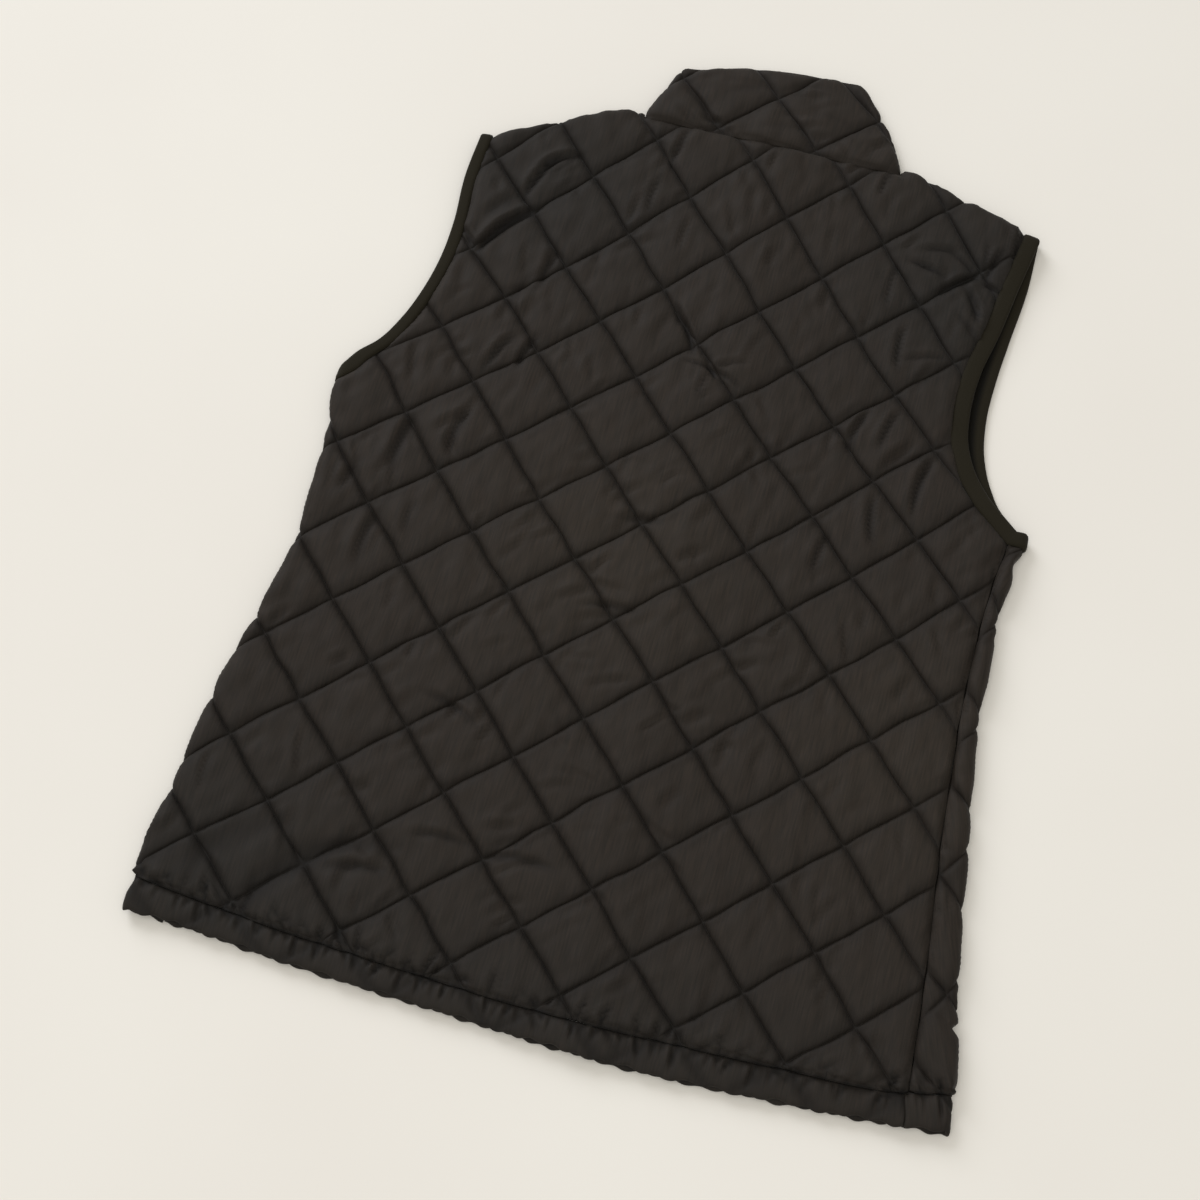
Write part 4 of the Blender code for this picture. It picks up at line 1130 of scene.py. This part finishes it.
def knit_tape():
    """Olive-black polyester knit tape: matt, with fine ribs 0.8 mm apart along it."""
    ribs = {"bands_direction": "Y", "Scale": 400.0, "Distortion": 0.6, "Detail": 2.0}
    material, tree, tone, shader = ribbed_tape("olive_black_knit_tape", ("#1A170E", "#231F13"), ribs, IOR=1.4,
                                               Specular_IOR_Level=0.2, Sheen_Weight=0.03)
    # Painted shade: the shade map darkens the front's tape next to the back's panel
    light, _ = crease_light(tree, 0.15)
    darker = add_node(tree, "ShaderNodeVectorMath", operation="SCALE")
    link(tone, "Color", darker, 0)
    link(light, "Result", darker, "Scale")
    link(darker, "Vector", shader, "Base Color")
    return material


binding_cloth = knit_tape()
for side in ("left", "right"):
    tape, length = binding(side)
    finished(tape, "vest", side + "_armhole_binding", binding_cloth)


# ---------------------------------------------------------------------- the zip
# It is closed and lies between the fronts, with its tapes on their inner side.  Sizes are
# across the zip, up along it from height 0, and above the table.
ZIP_TURN = math.atan(ZIP_LEAN)
TAPE_LEVEL = 4.6
TAPE_ENDS = (12.2, 633.8)
TAPE_SECTION = [(3.1, -0.3), (3.1, 0.3), (3.6, 0.55), (4.3, 0.55), (4.9, 0.3), (9.0, 0.27), (13.6, 0.27),
                (13.95, 0.0), (13.6, -0.27), (9.0, -0.27), (4.9, -0.3), (4.3, -0.55), (3.6, -0.55)]
TEETH_ENDS = (22.2, 627.4)
TEETH_PITCH = 2.9
TOOTH_OUTLINE = [(2.7, -0.75), (2.7, 0.75), (1.3, 0.75), (0.5, 0.5), (-0.1, 0.72), (-0.75, 0.72),
                 (-1.05, 0.3), (-1.05, -0.3), (-0.75, -0.72), (-0.1, -0.72), (0.5, -0.5), (1.3, -0.75)]
# Slices of a tooth: level from its middle, and size, which is smaller where its edge is rounded
TOOTH_SLICES = [(-1.08, 0.82), (-0.8, 1.0), (0.8, 1.0), (1.08, 0.82)]


def along_zip(across, up, level):
    """Places in the zip's own lines as places on the vest."""
    across, up, level = np.broadcast_arrays(across, up, level)
    return np.stack([ZIP_AT_HEM + across * math.cos(ZIP_TURN) - up * math.sin(ZIP_TURN),
                     up * math.cos(ZIP_TURN) + across * math.sin(ZIP_TURN), level], axis=-1)


def zip_tape(side):
    """A woven tape, 0.6 mm thick, with a thicker corded edge beside the teeth."""
    way = -1 if side == "left" else 1
    across, thick = np.array(TAPE_SECTION).T
    up = between(*TAPE_ENDS, 160)[:, None]
    rings = along_zip(way * across, up, TAPE_LEVEL + thick * (1 + 0.1 * np.sin(up / 11)))
    flat = np.stack(np.broadcast_arrays(across, up), axis=-1) * MM
    if way > 0:
        rings, flat = rings[:, ::-1], flat[:, ::-1]
    return tube("woven_zip_tape_" + side, rings, False, cloth=flat.reshape(-1, 2))


def zip_teeth():
    """Moulded teeth: each has a foot on its tape, a neck and a wider head that sits
    between two of the other side's."""
    outline = np.array(TOOTH_OUTLINE)
    index = np.arange(len(TOOTH_SLICES) * len(outline)).reshape(len(TOOTH_SLICES), -1)[:, ::-1]
    points, faces = [], []
    for number, up in enumerate(np.arange(*TEETH_ENDS, TEETH_PITCH / 2)):
        way = 1 if number % 2 else -1
        ring = outline if way > 0 else outline[::-1]
        for level, size in TOOTH_SLICES:
            across = 0.8 + (ring[:, 0] - 0.8) * size
            points.append(along_zip(way * across, up + ring[:, 1] * size, TAPE_LEVEL + level))
        faces += tube_faces(number * index.size + index, False)
    return new_mesh("moulded_zip_teeth", np.vstack(points), faces)


def smooth_finish(name, code, ior, grain, detail, gloss):
    """A smooth hard material whose gloss is slightly uneven."""
    material, tree, shader = new_material(name, Base_Color=colour(code), IOR=ior)
    place = add_node(tree, "ShaderNodeTexCoord")
    uneven = add_node(tree, "ShaderNodeTexNoise", Scale=grain, Detail=detail)
    rough = add_node(tree, "ShaderNodeMapRange", To_Min=gloss[0], To_Max=gloss[1])
    link(place, "Object", uneven, "Vector")
    link(uneven, "Fac", rough, "Value")
    link(rough, "Result", shader, "Roughness")
    return material


# Black polyester zip tape in a fine twill, with ribs 1 mm apart
twill = ribbed_tape("black_woven_zip_tape", ("#0E0E0F", "#18181A"),
                    {"bands_direction": "DIAGONAL", "Scale": 450.0, "Distortion": 0.5}, IOR=1.45)[0]
for side in ("left", "right"):
    tape = zip_tape(side)
    finished(tape, "vest", "zip_tape_" + side, twill)
# Moulded acetal
acetal = smooth_finish("black_moulded_acetal", "#121213", 1.48, 600.0, 2.0, (0.36, 0.48))
finished(zip_teeth(), "vest", "zip_teeth", acetal)


def softened(node, width):
    """A copy of a built part with its points joined and its sharp edges rounded by a bevel."""
    mesh = node.data.copy()
    joined = bmesh.new()
    joined.from_mesh(mesh)
    bmesh.ops.remove_doubles(joined, verts=joined.verts, dist=1e-6)
    bmesh.ops.dissolve_limit(joined, angle_limit=0.02, verts=joined.verts, edges=joined.edges)
    joined.to_mesh(mesh)
    joined.free()
    mesh.materials.clear()
    piece = bpy.data.objects.new(node.name + "_softened", mesh)
    bpy.context.scene.collection.objects.link(piece)
    bevel = piece.modifiers.new("bevel", "BEVEL")
    bevel.width = width * MM
    bevel.segments = 2
    bevel.limit_method = "ANGLE"
    return piece


# Zinc with black stoving paint
zinc = smooth_finish("black_painted_zinc", "#161617", 1.5, 350.0, 4.0, (0.26, 0.42))
for name, body, material, slot in (("zip_box", "vest", acetal, "zip_teeth"),
                                   ("zip_slider", "vest", zinc, "zip_metal"),
                                   ("zip_pull", "pull", zinc, "zip_metal")):
    finished(softened(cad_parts[name], 0.2), body, name, material)
